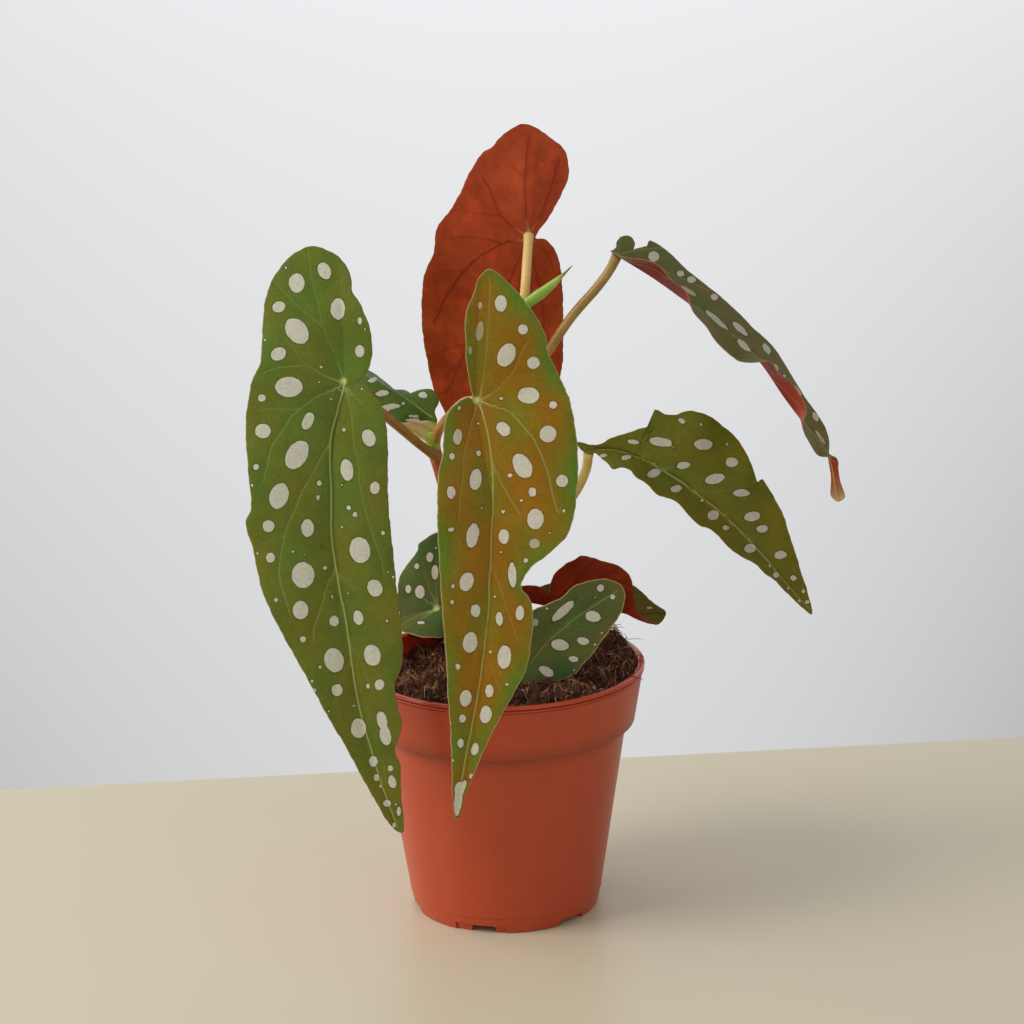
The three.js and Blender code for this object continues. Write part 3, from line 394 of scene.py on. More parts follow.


# Leaves: the same midribs, folds and outlines as the solids
# midrib: points from the upper lobe to the tip, and petioleAt the one that the petiole reaches.
# facing: [along, direction of the upper face]. fold: [along, fold and curl of each half].
# wave: [height, length, half width, start]. outline: [along, across], round from the petiole.
# dots: [x, y, width, height, lean], and a paleness where it is not 1. veins: [weight, path]. Both are read
# off the photograph, in its pixels. shadedGreen, aged, lit and dry: shares of the leaf colours, from 0 to 1;
# shadedGreen is painted shade, and lit is painted light coming through the underside.
# puff: how much of the relief shows. through: share of light let through. marginScale: width of the dry
# margin. navelOff: moves the pale spot off the blade. shadeSide: the side of the midrib that is in shade.
# upperSeen: False where the photograph shows the underside.
leaves = {
    "front_left": {
        "midrib": [[-63, -33, 294], [-61, -42, 270], [-61, -46, 242], [-65, -51, 220], [-67, -57, 196],
                   [-66, -62, 165], [-61, -66, 130], [-55, -66, 93], [-43, -62, 55]],
        "petioleAt": 2,
        "facing": [[-54, -0.15, -1, 0.35], [0, -0.05, -1, 0.05], [100, 0.05, -1, -0.05],
                   [190, -0.1, -1, -0.1]],
        "fold": [[-54, 4, 4, -0.3, -0.3], [0, 14, 14, -0.6, -0.6], [100, 14, 14, -0.6, -0.6],
                 [190, 12, 12, -0.5, -0.5]],
        "wave": [1, 46, 32, 0],
        "spine": [[3, -1], [166, 0]],
        "outline": [[0.5, 3], [-3, 8.5], [-7, 10.5], [-14, 11.5], [-22, 10.5], [-30, 7.5], [-35, 4.6],
                    [-38.5, 4.6], [-45, 3.5], [-51, -1], [-55, -9], [-53, -17], [-46, -25], [-36, -30],
                    [-22, -32], [-8, -33], [3, -36], [20, -36], [38, -33], [50, -31.5], [56, -34],
                    [66, -31.5], [80, -29.5], [95, -25], [112, -19.5], [134, -12.5], [150, -7.5],
                    [170, -4.5], [186, -2.5], [192, 0.5], [188, 3], [179, 5.5], [171, 8], [162, 11],
                    [154, 11], [148, 14.5], [142, 16.5], [134, 16], [125, 16.5], [118, 20.5], [108, 22.5],
                    [92, 23.5], [72, 24], [50, 23], [30, 22], [18, 20.5], [9, 17.5], [4.5, 13], [1, 8.5],
                    [1.5, 3.5]],
        "petiole": [[-25, 3, 197], [-32, -6, 205], [-39, -14, 213.5], [-47, -26, 224], [-56, -38, 235.5]],
        "petioleRadius": 2.1,
        "slot": "green_leaf",
        "shadedGreen": 0.3, "aged": 0.2, "lit": 0, "dry": 0.2,
        "shadeSide": 1, "marginScale": 1.0,
        "veins": [
            [1.0, [[344, 385], [341, 397], [338, 408], [334, 423], [331, 436], [330, 450], [330, 470],
                   [331, 490], [331, 510], [331, 530], [333, 550], [335, 563], [338, 580], [341, 597],
                   [344, 610], [347, 628], [350, 650], [354, 680], [360, 710], [370, 745], [382, 785],
                   [397, 826]]],
            [0.6, [[329, 445], [324, 453], [316, 467], [308, 482], [302, 492], [297, 505], [290, 520],
                   [285, 533], [283, 545], [280, 560], [279, 573], [281, 585], [285, 597], [289, 612]]],
            [0.35, [[285, 533], [275, 538], [263, 543]]],
            [0.6, [[334, 572], [328, 584], [324, 597], [320, 610], [315, 625], [313, 640]]],
            [0.5, [[346, 388], [350, 405], [352, 420], [354, 445], [358, 462], [359, 480], [362, 497],
                   [367, 517], [371, 530], [376, 545], [381, 558], [384, 575]]],
            [0.4, [[348, 388], [354, 396], [362, 404]]],
            [0.4, [[339, 573], [346, 580], [355, 590]]],
            [0.6, [[341, 386], [330, 391], [320, 395], [313, 399], [307, 404], [300, 409], [291, 417],
                   [285, 427], [278, 437], [272, 446], [268, 462], [264, 480]]],
            [0.4, [[303, 407], [297, 409], [285, 409], [272, 409], [258, 410]]],
            [0.55, [[339, 381], [330, 378], [320, 373], [312, 368], [305, 366], [295, 366], [282, 367],
                    [270, 370], [263, 374]]],
            [0.4, [[312, 368], [303, 362], [297, 354], [292, 347], [286, 340]]],
            [0.4, [[343, 379], [337, 360], [331, 345], [326, 336], [322, 325], [320, 315], [319, 305],
                   [316, 295], [313, 285], [311, 272], [309, 260], [308, 250]]],
            [0.35, [[320, 303], [325, 296], [331, 289], [336, 283]]],
            [0.4, [[322, 326], [315, 321], [308, 315], [300, 308], [293, 302], [286, 294], [280, 287],
                   [274, 280]]],
            [0.35, [[352, 660], [340, 680], [333, 705]]], [0.35, [[350, 640], [362, 665], [372, 690]]]],
        "dots": [
            [324.5, 271, 13, 18, -25], [297, 283, 16, 20, 0], [279, 307, 13, 11, -15],
            [338, 309, 15, 22, 0],
            [360, 321, 5, 8, 0], [297, 331, 21, 29, -38], [278.5, 354, 16, 13, -25], [360, 351, 9, 12, 0],
            [289, 387, 28, 21, 0], [262, 398, 8, 7, 0], [308, 421, 11, 19, 25], [263, 431, 16, 15, 0],
            [369, 438, 13, 18, -20], [344, 430, 4.5, 4.5, 0], [297, 455, 21, 32, 30],
            [347, 470, 13, 22, -8],
            [256, 467, 6, 6, 0], [319, 483, 5.5, 5.5, 0], [342, 486, 3, 3, 0], [375, 488, 10, 12, 0],
            [252, 485.5, 3, 3, 0], [279, 496, 19, 27, 18], [318, 497.5, 5, 5, 0], [349, 507.5, 5, 5, 0],
            [355, 514.5, 5, 5, 0], [342, 527, 2.5, 2.5, 0], [268.5, 526, 12, 12, 0],
            [307.5, 528, 13, 18, 0],
            [383, 533, 4, 4, 0], [322, 546.5, 3, 3, 0], [293, 551.5, 2.5, 2.5, 0],
            [257.5, 553.5, 2.5, 2.5, 0],
            [305, 555, 2, 2, 0], [360, 550, 21, 27, -10], [270.5, 557.5, 9, 10, 0], [325, 567.5, 4, 4, 0],
            [393, 577, 3, 3, 0], [388, 572, 2, 2, 0], [303, 575, 23, 27, 0], [375, 588, 15, 18, -25],
            [332, 597.5, 4, 4, 0], [276, 600, 4, 4, 0], [348, 593, 2, 2, 0], [300.5, 610, 16, 19, 0],
            [358.5, 617.5, 10, 15, -12], [334, 621, 10, 11, 0], [387, 621, 3, 3, 0], [303, 639, 6, 6, 0],
            [334, 660, 20, 25, -15], [372.5, 655, 17, 22, -12], [320, 667, 3, 3, 0],
            [312, 681, 2.5, 2.5, 0],
            [314.5, 690, 3, 3, 0], [337, 690, 11, 12, 0], [379.5, 684.5, 10, 11, 0], [368, 686, 4, 5, 0],
            [354, 706, 2.5, 2.5, 0], [329, 711, 2, 2, 0], [358.5, 728, 16, 20, 0], [382, 720, 10, 18, -10],
            [385.5, 735, 11, 20, -12], [373.5, 761, 9, 11, 0], [390.5, 768, 5, 6, 0],
            [376.5, 777.5, 6, 7, 0],
            [392.5, 781.5, 8, 13, -12], [380.5, 786, 3, 3, 0], [387, 803, 8, 7, 0], [396, 804, 2, 2, 0],
            [399, 811, 4, 9, 0], [394, 825, 3, 5, 0], [286, 268, 2, 2, 0], [321, 367, 2, 2, 0],
            [331, 399, 2, 2, 0], [362, 389, 2, 2, 0], [365, 329, 2, 2, 0], [265, 340, 2, 2, 0],
            [319, 382, 2, 2, 0]],
    },
    "front_centre": {
        "midrib": [[-5, -50, 288], [-7, -59, 262], [-8, -62, 237], [-5, -69, 216], [-2, -75, 194],
                   [-3, -81, 165], [-7, -84, 130], [-13, -83, 96], [-19, -78, 67]],
        "petioleAt": 2,
        "facing": [[-53, 0.1, -1, 0.4], [0, 0.05, -1, 0.1], [90, -0.05, -1, 0], [180, -0.1, -1, -0.1]],
        "fold": [[-53, 10, 6, 0, -0.3], [0, 22, 14, -0.3, -0.5], [90, 16, 14, -0.5, -0.6],
                 [175, 12, 12, -0.5, -0.5]],
        "wave": [1.2, 52, 30, 1],
        "spine": [[3, 1], [150, 0]],
        "outline": [[0, -1.5], [-4, -1.5], [-15, -3.8], [-24, -4.5], [-33, -5], [-41, -2.5], [-48, -0.5],
                    [-52, 3], [-50, 7], [-44, 14], [-36, 21], [-28, 26], [-20, 28], [-11, 32.5], [0, 36],
                    [15, 37], [30, 36], [42, 33], [49, 31], [54, 28.5], [60, 22], [65, 15.5], [70, 12],
                    [74, 11.5], [79, 15.5], [86, 17], [95, 17], [104, 16.5], [113, 13.5], [124, 9.5],
                    [134, 6.5], [147, 3.5], [162, 1], [175, 0], [165, -3.5], [150, -6.5], [133, -10],
                    [120, -13], [105, -15.5], [88, -18.5], [70, -21], [50, -22.5], [35, -21.5],
                    [26, -19.5], [20, -17], [14, -15.5], [8, -14], [3, -11], [0, -6.5], [-1, -3.5]],
        "petiole": [[-27, 4, 203], [-24, -2, 211], [-19, -19, 221], [-13, -42, 231.5]],
        "petioleRadius": 2.1,
        "slot": "bronze_leaf",
        "shadedGreen": 0, "aged": 0.8, "lit": 0, "dry": 0.6, "swing": 0.3, "greenEdge": 0.6,
        "shadeSide": 0, "marginScale": 1.3,
        "veins": [
            [0.5, [[480, 398], [482, 385], [484, 372], [486, 355], [487, 340], [488, 325], [489, 310],
                   [489, 300], [490, 285], [489, 278]]],
            [0.5, [[481, 399], [490, 395], [499, 388], [506, 380], [513, 372], [518, 363], [522, 352],
                   [528, 342]]],
            [0.3, [[506, 380], [520, 375], [535, 376], [548, 380]]],
            [0.75, [[481, 401], [490, 405], [500, 408], [508, 411], [515, 417], [522, 425], [528, 432],
                    [534, 440], [539, 450], [543, 460], [547, 470], [550, 482], [553, 497], [557, 510]]],
            [0.3, [[505, 410], [520, 412], [535, 413], [548, 418]]],
            [0.95, [[480, 404], [483, 415], [487, 430], [489, 440], [491, 455], [492, 470], [493, 482],
                    [493, 495], [493, 510], [492, 525], [491, 540], [491, 555], [490, 570], [489, 585],
                    [489, 600], [488, 615], [486, 630], [484, 650], [480, 680], [474, 715], [467, 750],
                    [460, 790], [457, 812]]],
            [0.6, [[492, 460], [494, 466], [499, 478], [505, 490], [511, 500], [516, 508], [520, 514]]],
            [0.45, [[491, 557], [494, 570], [498, 582], [502, 592], [505, 603], [509, 615], [513, 627],
                    [518, 640]]],
            [0.5, [[477, 404], [474, 415], [470, 430], [466, 445], [463, 462], [463, 475], [461, 490],
                   [460, 505], [459, 520]]],
            [0.35, [[487, 625], [480, 640], [472, 660]]], [0.35, [[484, 650], [492, 668], [500, 690]]]],
        "dots": [
            [501, 303.5, 12, 17, 0], [480, 305.5, 4.5, 7, 0, 0.5], [479.5, 331, 8, 20, 8, 0.4],
            [523, 329.5, 10, 10, 0], [506.5, 355, 17, 25, 25], [533.5, 363, 13, 12, 0],
            [470, 350, 3, 8, 0, 0.5],
            [528.5, 395.5, 22, 17, 0], [501.5, 398.5, 4, 3, 0], [553, 405, 8, 7.5, 0],
            [548, 434, 17, 17, 0],
            [503.5, 429, 12, 16, -45], [457.5, 437, 9, 16, 8, 0.8], [478, 423, 3, 3, 0],
            [459, 408, 2.5, 4, 0],
            [478.5, 453.5, 5, 6, 0], [452, 456.5, 5, 6.5, 0], [522.5, 466, 18, 27, -30],
            [510, 475.5, 5, 4, 0],
            [475.5, 479.5, 12, 22, 8], [562, 481, 12, 13, 0], [451, 492.5, 9, 13, 0],
            [532.5, 492, 8, 9.5, 0],
            [521.5, 500, 3.5, 3.5, 0], [481.5, 507.5, 3, 3, 0], [503.5, 512, 5, 4.5, 0],
            [564, 511, 3.5, 3.5, 0],
            [535.5, 519, 17, 21, 0], [451, 529.5, 6, 4.5, 0], [472.5, 535.5, 12.5, 25, 12],
            [504, 536.5, 10.5, 15, 0], [534.5, 543.5, 10.5, 10, 0, 0.6], [550, 533, 2.5, 2.5, 0],
            [501, 552, 2.5, 2.5, 0], [526, 560.5, 4.5, 5, 0], [512.5, 575, 8.5, 25, -3],
            [466.5, 581.5, 14, 20, 20],
            [453, 586, 3.5, 3.5, 0], [452, 602, 4, 4, 0], [495, 596.5, 2.5, 2.5, 0],
            [475.5, 610.5, 10, 13, 0],
            [499.5, 618.5, 7.5, 14, -5], [520, 613, 8.5, 15, 0], [470, 642.5, 15, 21, 10],
            [490.5, 652, 3, 3, 0],
            [504.5, 657, 14, 24, 5], [458, 666.5, 5, 6, 0], [507, 684, 2.5, 2.5, 0],
            [465.5, 698, 12, 17, 10],
            [489.5, 691, 8.5, 13, 0], [486, 714.5, 12, 18, 5], [462.5, 718.5, 7, 8, 0], [450, 723, 3, 4, 0],
            [492.5, 732, 3, 3, 0], [460.5, 743, 6.5, 9, 0], [475, 749, 8, 12, 10], [471.5, 776, 4, 5, 0],
            [452.5, 760, 3, 3, 0], [459.5, 789, 10, 16, 8], [463.5, 785.5, 5, 12, 20],
            [458.3, 800, 8, 30, 7]],
    },
    "back_top": {
        "midrib": [[19, 31, 332], [17, 23, 310], [14.5, 19, 288], [9, 24, 264], [4, 33, 236],
                   [-1, 46, 203], [-4, 58, 166]],
        "petioleAt": 2,
        "facing": [[-46, 0, 1, 0.3], [0, 0, 1, 0], [60, 0, 1, 0.25], [130, 0, 1, 0.3]],
        "fold": [[-46, 4, 4, 0.3, 0.3], [0, 10, 14, -0.4, -0.4], [60, 12, 12, -0.5, -0.5],
                 [130, 12, 12, -0.5, -0.5]],
        "wave": [1.2, 50, 34, 2],
        "spine": [[3, 2], [112, 0]],
        "outline": [[0.5, -2.5], [-3, -4], [-10, -8], [-18, -11.5], [-26, -14], [-36, -12], [-42, -4],
                    [-46, 5], [-42, 13], [-36, 18], [-33, 22], [-26, 26], [-16, 30], [-6, 34], [4, 37.5],
                    [11, 38], [18, 37], [26, 39], [40, 38], [54, 35.5], [66, 32], [80, 27.5], [91, 21.5],
                    [102, 14.5], [115, 7], [131, 0], [122, -6], [110, -12], [96, -18], [80, -23],
                    [62, -25], [42, -22.5], [25, -19.5], [11, -15.5], [4, -11], [1.2, -7], [1.5, -4]],
        "petiole": [[11, 0, 256], [12.3, 1.5, 267], [13.3, 7, 277]],
        "petioleRadius": 2.1,
        "slot": "red_leaf",
        "shadedGreen": 0.4, "aged": 0.3, "lit": 0.6, "dry": 0.1,
        "upperSeen": False, "puff": 0.35, "through": 0.5, "marginScale": 1.2,
        "veins": [
            [0.8, [[529, 232], [527, 222], [526, 210], [525, 195], [525, 180], [526, 168], [527, 150],
                   [529, 138]]],
            [0.7, [[526, 235], [520, 231], [513, 227], [506, 221], [501, 216], [497, 208], [493, 198],
                   [489, 188], [484, 180]]],
            [0.5, [[501, 216], [493, 215], [485, 214], [474, 212]]], [0.5, [[525, 178], [519, 173],
            [513, 167]]],
            [0.9, [[525, 240], [515, 241], [507, 242], [500, 245], [490, 250], [480, 256], [472, 263],
                   [465, 270], [458, 278], [452, 287], [445, 298], [440, 310], [434, 322]]],
            [0.6, [[500, 243], [490, 240], [480, 238], [470, 237], [460, 237], [452, 239]]],
            [0.4, [[465, 270], [455, 270], [442, 272]]],
            [0.7, [[531, 232], [536, 222], [542, 212], [546, 200], [551, 188], [554, 178], [556, 168],
                   [559, 160]]],
            [0.7, [[528, 242], [522, 252], [517, 263], [512, 275], [507, 287]]],
            [0.5, [[533, 240], [540, 246], [547, 254], [551, 262], [554, 272]]],
            [0.6, [[530, 255], [534, 265], [538, 280], [541, 295], [543, 315], [544, 330]]],
            [0.5, [[466, 343], [455, 347], [443, 350], [430, 356]]],
            [0.5, [[464, 352], [459, 365], [455, 375], [451, 384], [445, 392]]]],
        "dots": [],
    },
    "right_top": {
        "midrib": [[50.5, 0, 282.5], [65.5, 0, 272.8], [80.5, 0, 261.6], [96, 0, 250], [109, 0, 237.3],
                   [120, 0, 221], [131, 0, 206], [139, 0, 194.5], [142, 0, 179]],
        "petioleAt": 0,
        "facing": [[0, 0.55, 0, 0.8], [70, 0.65, 0, 0.7], [100, 0.8, 0, 0.6], [122, 0.85, 0, 0.4],
                   [130, 0.6, 0.7, 0.2], [140, 0.4, 0.9, 0.1]],
        "fold": [[0, 8, 18, 0, 0], [8, 22, 18, 0, 0], [15, 26, 18, 0, 0], [22, 19, 18, 0, 0],
                 [30, 17, 18, 0, 0], [37, 0, 18, 0, 0], [45, -8, 18, 0, 0], [52, -18, 18, 0, 0],
                 [64, -20, 18, 0, 0], [69, -8, 18, 0, 0], [74, 14, 18, 0, 0], [80, 15, 18, 0, 0],
                 [87, 24, 18, 0, 0], [100, 20, 18, 0, 0], [104, 0, 18, 0, 0], [114, -8, 18, 0, 0],
                 [120, -12, 18, 0, 0], [126, 4, 18, 0, 0], [140, 4, 18, 0, 0]],
        "wave": [0, 30, 20, 0],
        "spine": [[3, 0], [126, 0]],
        "outline": [[-1, 5], [-1.5, 10], [-0.5, 15.5], [1.5, 20], [4, 21], [5.7, 17], [5.4, 12.5],
                    [6, 10.8], [7.5, 14.2], [10, 19], [12.2, 22.7], [12, 27.5], [15, 28.7], [22, 28],
                    [29, 25], [38, 23.8], [47, 22.5], [56, 20.5], [62, 19.5], [67, 18.3], [74, 20.2],
                    [81, 21.4], [89, 20.8], [97, 19.4], [104, 17], [110, 15], [117, 13], [122, 9],
                    [127, 3], [132, 1.8], [139, 1.6], [143, 3], [145, 0.5], [143.5, -3], [139, -1.8],
                    [132, -2], [127, -4], [121, -10], [114, -12], [104, -13.5], [92, -15], [78, -15.5],
                    [64, -15], [52, -15], [46, -14.5], [38, -14.5], [30, -15.5], [14, -16], [5, -14],
                    [0, -12], [-3, -8], [-3, -1]],
        "petiole": [[14, 0, 231], [21.5, 0, 242.5], [31.5, 0, 257], [42, 0, 269], [47.5, 0, 276.5]],
        "petioleRadius": 2.1,
        "slot": "dark_leaf",
        "shadedGreen": 0.7, "aged": 0.3, "lit": 0.1, "dry": 0.3, "dryTip": 1,
        "navelOff": 60, "puff": 0.6, "through": 0.25, "marginScale": 1.3,
        "dots": [
            [653.5, 257, 11, 11, 0], [680, 274, 8, 6, 0], [691, 280, 9, 7, 0],
            [688.5, 291.5, 4, 17, -58, 0.7],
            [714, 297.5, 7, 7, 0], [739.5, 329, 6, 20, -48], [716.5, 320.5, 5, 28, -48, 0.9],
            [743.5, 346, 6, 17, -48], [766, 349, 6, 12, -35], [775, 368, 6, 8, -30, 0.8],
            [784, 376, 3, 3, 0],
            [797, 391, 4, 12, -35, 0.8], [815, 417, 5, 10, -30], [820, 438, 3, 18, -35, 0.7]],
    },
    "right_middle": {
        "midrib": [[38, 0, 200], [50, -1, 200], [63, -4, 195], [80, -8, 183], [98, -10, 167],
                   [115, -10, 149], [131, -6, 129]],
        "petioleAt": 0,
        "facing": [[0, 0.1, -0.75, 0.7], [60, 0.3, -0.75, 0.6], [120, 0.45, -0.75, 0.5]],
        "fold": [[0, 30, 25, 0, -0.2], [25, 30, 18, 0, -0.3], [60, 26, 12, 0, -0.5],
                 [120, 24, 12, 0, -0.5]],
        "wave": [0.7, 28, 18, 0.5],
        "spine": [[3.5, 0], [106, 0]],
        "outline": [[-5, 3.2], [-2, 2.6], [1, 1.8], [4.8, 2], [9, 4.2], [14, 7.7], [20, 13.7],
                    [21.8, 16.5], [21.7, 18.4], [19.6, 22], [22.6, 21.9], [26, 23.7], [28.8, 27.7],
                    [32, 29.7], [38, 32], [46, 34], [51.5, 33], [56.7, 29.5], [62, 26.4], [67.3, 23.6],
                    [68.8, 26.8], [75, 25.6], [80, 23], [86, 19.4], [91.5, 16], [99, 12.8], [107, 8.3],
                    [114, 5], [122.5, 0], [117, -2.3], [104, -4.5], [98.5, -4.6], [92.5, -6.5], [86.5, -7],
                    [79, -11], [73.5, -12], [67.5, -11], [62, -11.2], [57, -15], [51, -14.2], [46, -12.2],
                    [42, -12.8], [37, -16.3], [31, -14.8], [25.5, -15.4], [21.6, -12.2], [17.3, -12.5],
                    [12.9, -15.1], [8.7, -10.8], [5.5, -6.3], [3, -2.4], [0, -1.5], [-3, 0.5]],
        "petiole": [[7.5, 4, 160], [20, 2.5, 168], [31, 1, 180], [36.5, 0, 191]],
        "petioleRadius": 2.1,
        "slot": "green_leaf",
        "shadedGreen": 0.1, "aged": 0.3, "lit": 0, "dry": 0.1,
        "shadeSide": 1, "navelOff": 60, "through": 0.25, "marginScale": 1.0,
        "veins": [
            [1.0, [[597, 450], [612, 450], [625, 453], [636, 457], [648, 462], [657, 467], [668, 474],
                   [680, 481], [690, 489], [705, 500], [720, 512], [740, 531], [765, 558], [790, 588],
                   [808, 608]]],
            [0.35, [[640, 458], [656, 450], [676, 436], [690, 425]]],
            [0.35, [[660, 468], [690, 466], [715, 455], [736, 445]]],
            [0.35, [[690, 489], [718, 492], [745, 486], [758, 480]]],
            [0.3, [[720, 512], [745, 515], [768, 512]]], [0.3, [[745, 536], [762, 540], [780, 540]]],
            [0.3, [[650, 463], [655, 480], [668, 492]]], [0.3, [[690, 489], [695, 505], [705, 518]]],
            [0.3, [[725, 517], [732, 532], [742, 545]]]],
        "dots": [
            [633, 442, 11, 4.5, 8], [660.5, 442, 23, 9, 8], [682, 421, 8, 5, 30], [701, 424.5, 2.5, 2.5, 0],
            [703, 444.5, 19, 11, 0], [674, 448, 3, 3, 0], [726.5, 444.5, 3, 3, 0],
            [731.5, 462.5, 13, 9.5, 0],
            [626, 458, 10, 4.5, -12], [603, 456, 8, 3, -12], [683, 465.5, 14, 7, -10],
            [654, 473.5, 15, 8, -22],
            [714.5, 479, 20, 10, -12], [676, 489, 12, 7, -12], [741, 493, 17, 7.5, 0],
            [702, 500.5, 5, 3.5, 0],
            [713, 515.5, 12, 10, -10], [752, 516.5, 17, 9.5, -10], [725.5, 528, 7, 5, 0],
            [762, 529, 12, 7.5, -8],
            [750, 548.5, 12, 9.5, -15], [780, 555, 12, 8.5, -12], [770, 566, 4, 4, 0],
            [776, 575, 7, 6, -15],
            [793, 578, 6, 5, 0], [787.5, 588.5, 3, 3, 0], [803, 591, 4, 4, 0], [807, 602, 5, 4, 0],
            [799, 601, 3, 3, 0]],
    },
    "back_left": {
        "midrib": [[-27.5, 21, 208.5], [-42, 27, 219], [-58, 35, 225.5], [-74, 43, 225.5], [-88, 50, 220]],
        "petioleAt": 0,
        "facing": [[0, 0, -0.3, 0.95], [40, -0.1, -0.3, 0.95], [75, -0.4, -0.3, 0.9]],
        "fold": [[0, 16, 6, 0, 0], [10, 12, 4, 0, 0], [20, -24, 0, -0.3, -0.2], [40, -24, 0, -0.3, -0.3],
                 [75, -14, -4, 0, 0]],
        "wave": [0.8, 24, 18, 0],
        "spine": [[3, 0], [62, 0]],
        "outline": [[-1.5, 1], [-2.5, 4], [0.7, 6.2], [3.1, 9.5], [5.6, 12], [10, 14.6], [15, 14.4],
                    [18, 16], [26, 18], [38, 19.5], [50, 16], [62, 10.5], [71, 5], [76, 0], [70, -6],
                    [58, -11], [48, -15], [40, -14.5], [34, -11], [27, -6], [22.5, -3.5], [21, -7.5],
                    [20.5, -10], [18, -8.5], [16.3, -5.5], [15.4, -8.5], [14.5, -11.5], [11.5, -12.4],
                    [8.5, -12], [5.5, -10.4], [3.7, -8], [3.5, -5.5], [2, -3.5], [-1, -1.5]],
        "petiole": [[-27, 4, 202], [-26, 12, 204]],
        "petioleRadius": 2.1,
        "slot": "dark_leaf",
        "shadedGreen": 0.4, "aged": 0, "lit": 0, "dry": 0.1,
        "navelOff": 60, "marginScale": 1.0,
        "veins": [[1.0, [[431.5, 417], [420, 409], [409, 401], [397.8, 393.3], [385, 385], [374, 376]]],
                  [0.3, [[415, 405], [418, 397], [424, 391]]], [0.3, [[409, 401], [396, 405], [386, 402]]]],
        "dots": [[372.5, 380.5, 9, 4.5, -20], [382.5, 393.5, 14, 6, -12], [390.5, 407, 19, 5.5, -5],
                 [423, 395.5, 9, 6, 0], [403, 404, 5, 2.5, 0], [414, 416.5, 12, 2.2, 0],
                 [413, 420.5, 15, 3, 0],
                 [388, 410.5, 3, 2, 0]],
    },
    "back_low": {
        "midrib": [[-19.6, 47, 118.2], [-28.5, 48, 117.2], [-39.3, 49.9, 114], [-50, 53, 111],
                   [-60, 57, 105]],
        "petioleAt": 1,
        "facing": [[-9, -0.1, -0.9, 0.35], [0, -0.1, -0.9, 0.4], [42, -0.3, -0.85, 0.4]],
        "fold": [[-9, 10, 10, 0, 0], [0, 10, 25, 0, 0], [20, 6, 38, 0, 0], [42, 5, 20, 0, 0]],
        "wave": [0.7, 26, 20, 0],
        "spine": [[2, -1], [34, 0]],
        "outline": [[-2, -1.5], [-8, -7], [-12, -16], [-12, -26], [-8, -32.5], [-3.9, -33], [-0.8, -30.5],
                    [1, -28.8], [1.8, -26.2], [6.2, -22.6], [10, -20.4], [14, -18.2], [15.6, -14],
                    [17, -9.5], [21, -7.5], [26, -6.5], [33, -4], [39, 0], [33, 2.5], [26, 4], [20, 6.5],
                    [14.3, 9.7], [11, 11.4], [7.8, 13.4], [3, 14.6], [-3, 14.2], [-8, 8], [-4, 2]],
        "petiole": [[-10, 8, 104], [-7, 24, 113], [-8, 42, 121], [-13, 53, 122.5], [-22, 55, 120]],
        "petioleRadius": 1.6,
        "slot": "dark_leaf",
        "shadedGreen": 0.8, "aged": 0.1, "lit": 0, "dry": 0.7,
        "marginScale": 1.2,
        "veins": [[0.6, [[438, 609], [425, 613], [411, 619], [400, 626]]], [0.5, [[438, 609], [420, 620],
                  [403, 629]]],
                  [0.4, [[437, 607], [425, 600], [410, 598]]], [0.4, [[437, 606], [430, 590], [424, 572]]],
                  [0.4, [[438, 606], [436, 585], [436, 560]]]],
        "dots": [[430, 557, 7, 10, 0], [417, 566, 5, 6, 0], [435, 572, 7, 15, 0], [408.5, 589, 5.5, 9, 0],
                 [420, 592, 10, 14, 0], [399, 614.5, 4, 9, 0], [421, 623, 7, 3, 0],
                 [436, 548, 2.5, 2.5, 0]],
    },
    "low_front": {
        "midrib": [[5, -17, 112.5], [14, -17, 120.5], [21, -17, 126.5], [30, -17, 132.5], [39, -15, 138],
                   [46.5, -12, 141.5]],
        "petioleAt": 0,
        "facing": [[0, 0.1, -0.85, 0.5], [50, 0.2, -0.85, 0.5]],
        "fold": [[0, 8, 8, 0, 0], [25, 8, 8, -0.6, -0.6], [50, 8, 8, -0.6, -0.6]],
        "wave": [0.5, 22, 18, 0],
        "spine": [[3, 0], [46, 0]],
        "outline": [[-1, 0.8], [-5, 4], [-4, 9], [4, 12.5], [14, 12.5], [26, 10], [33, 9], [39, 10],
                    [47, 8], [53, 5], [56.5, 0], [54, -6], [47, -11], [36, -15], [30, -17.5], [20, -20],
                    [12, -18.5], [6, -14.5], [0, -10.5], [-5, -7], [-5, -3], [-1, -0.8]],
        "petiole": [[2.5, 6, 105], [4, -2, 107.5], [5, -10, 109.5]],
        "petioleRadius": 1.6,
        "slot": "dark_leaf",
        "shadedGreen": 0.8, "aged": 0.1, "lit": 0, "dry": 0.8,
        "navelOff": 60, "marginScale": 1.4,
        "veins": [[0.7, [[531, 663], [545, 645], [560, 631], [580, 615], [600, 602], [617, 591]]],
                  [0.3, [[548, 642], [550, 625], [558, 606]]], [0.3, [[565, 627], [574, 608], [588, 592]]],
                  [0.3, [[545, 645], [562, 648], [580, 652]]], [0.3, [[566, 626], [584, 630], [600, 634]]]],
        "dots": [[600.5, 588, 7, 7, 0], [594.5, 598, 2, 2, 0], [612.5, 597, 5, 5, 0], [563, 611, 9, 29, 47],
                 [593, 616.5, 16, 11, 15], [560, 645, 18, 11, 8], [583, 641, 12, 7.5, 12],
                 [573.5, 659, 10, 5.5, 8], [546.5, 671.5, 16, 9, 30], [536, 622, 5, 8, 0, 0.6],
                 [547, 608.5, 2.5, 2.5, 0], [595, 644.5, 2.5, 2.5, 0], [602, 633, 2.5, 2.5, 0],
                 [526, 665, 3, 3, 0], [574.5, 670, 2.5, 2.5, 0]],
    },
    "low_back": {
        "midrib": [[20, 27, 124], [30, 28, 121.8], [45, 29, 121], [54, 30, 118.8], [61, 31, 115],
                   [69, 32, 112.5]],
        "petioleAt": 0,
        "facing": [[0, 0.1, 0.1, 1], [50, 0.2, 0.1, 1]],
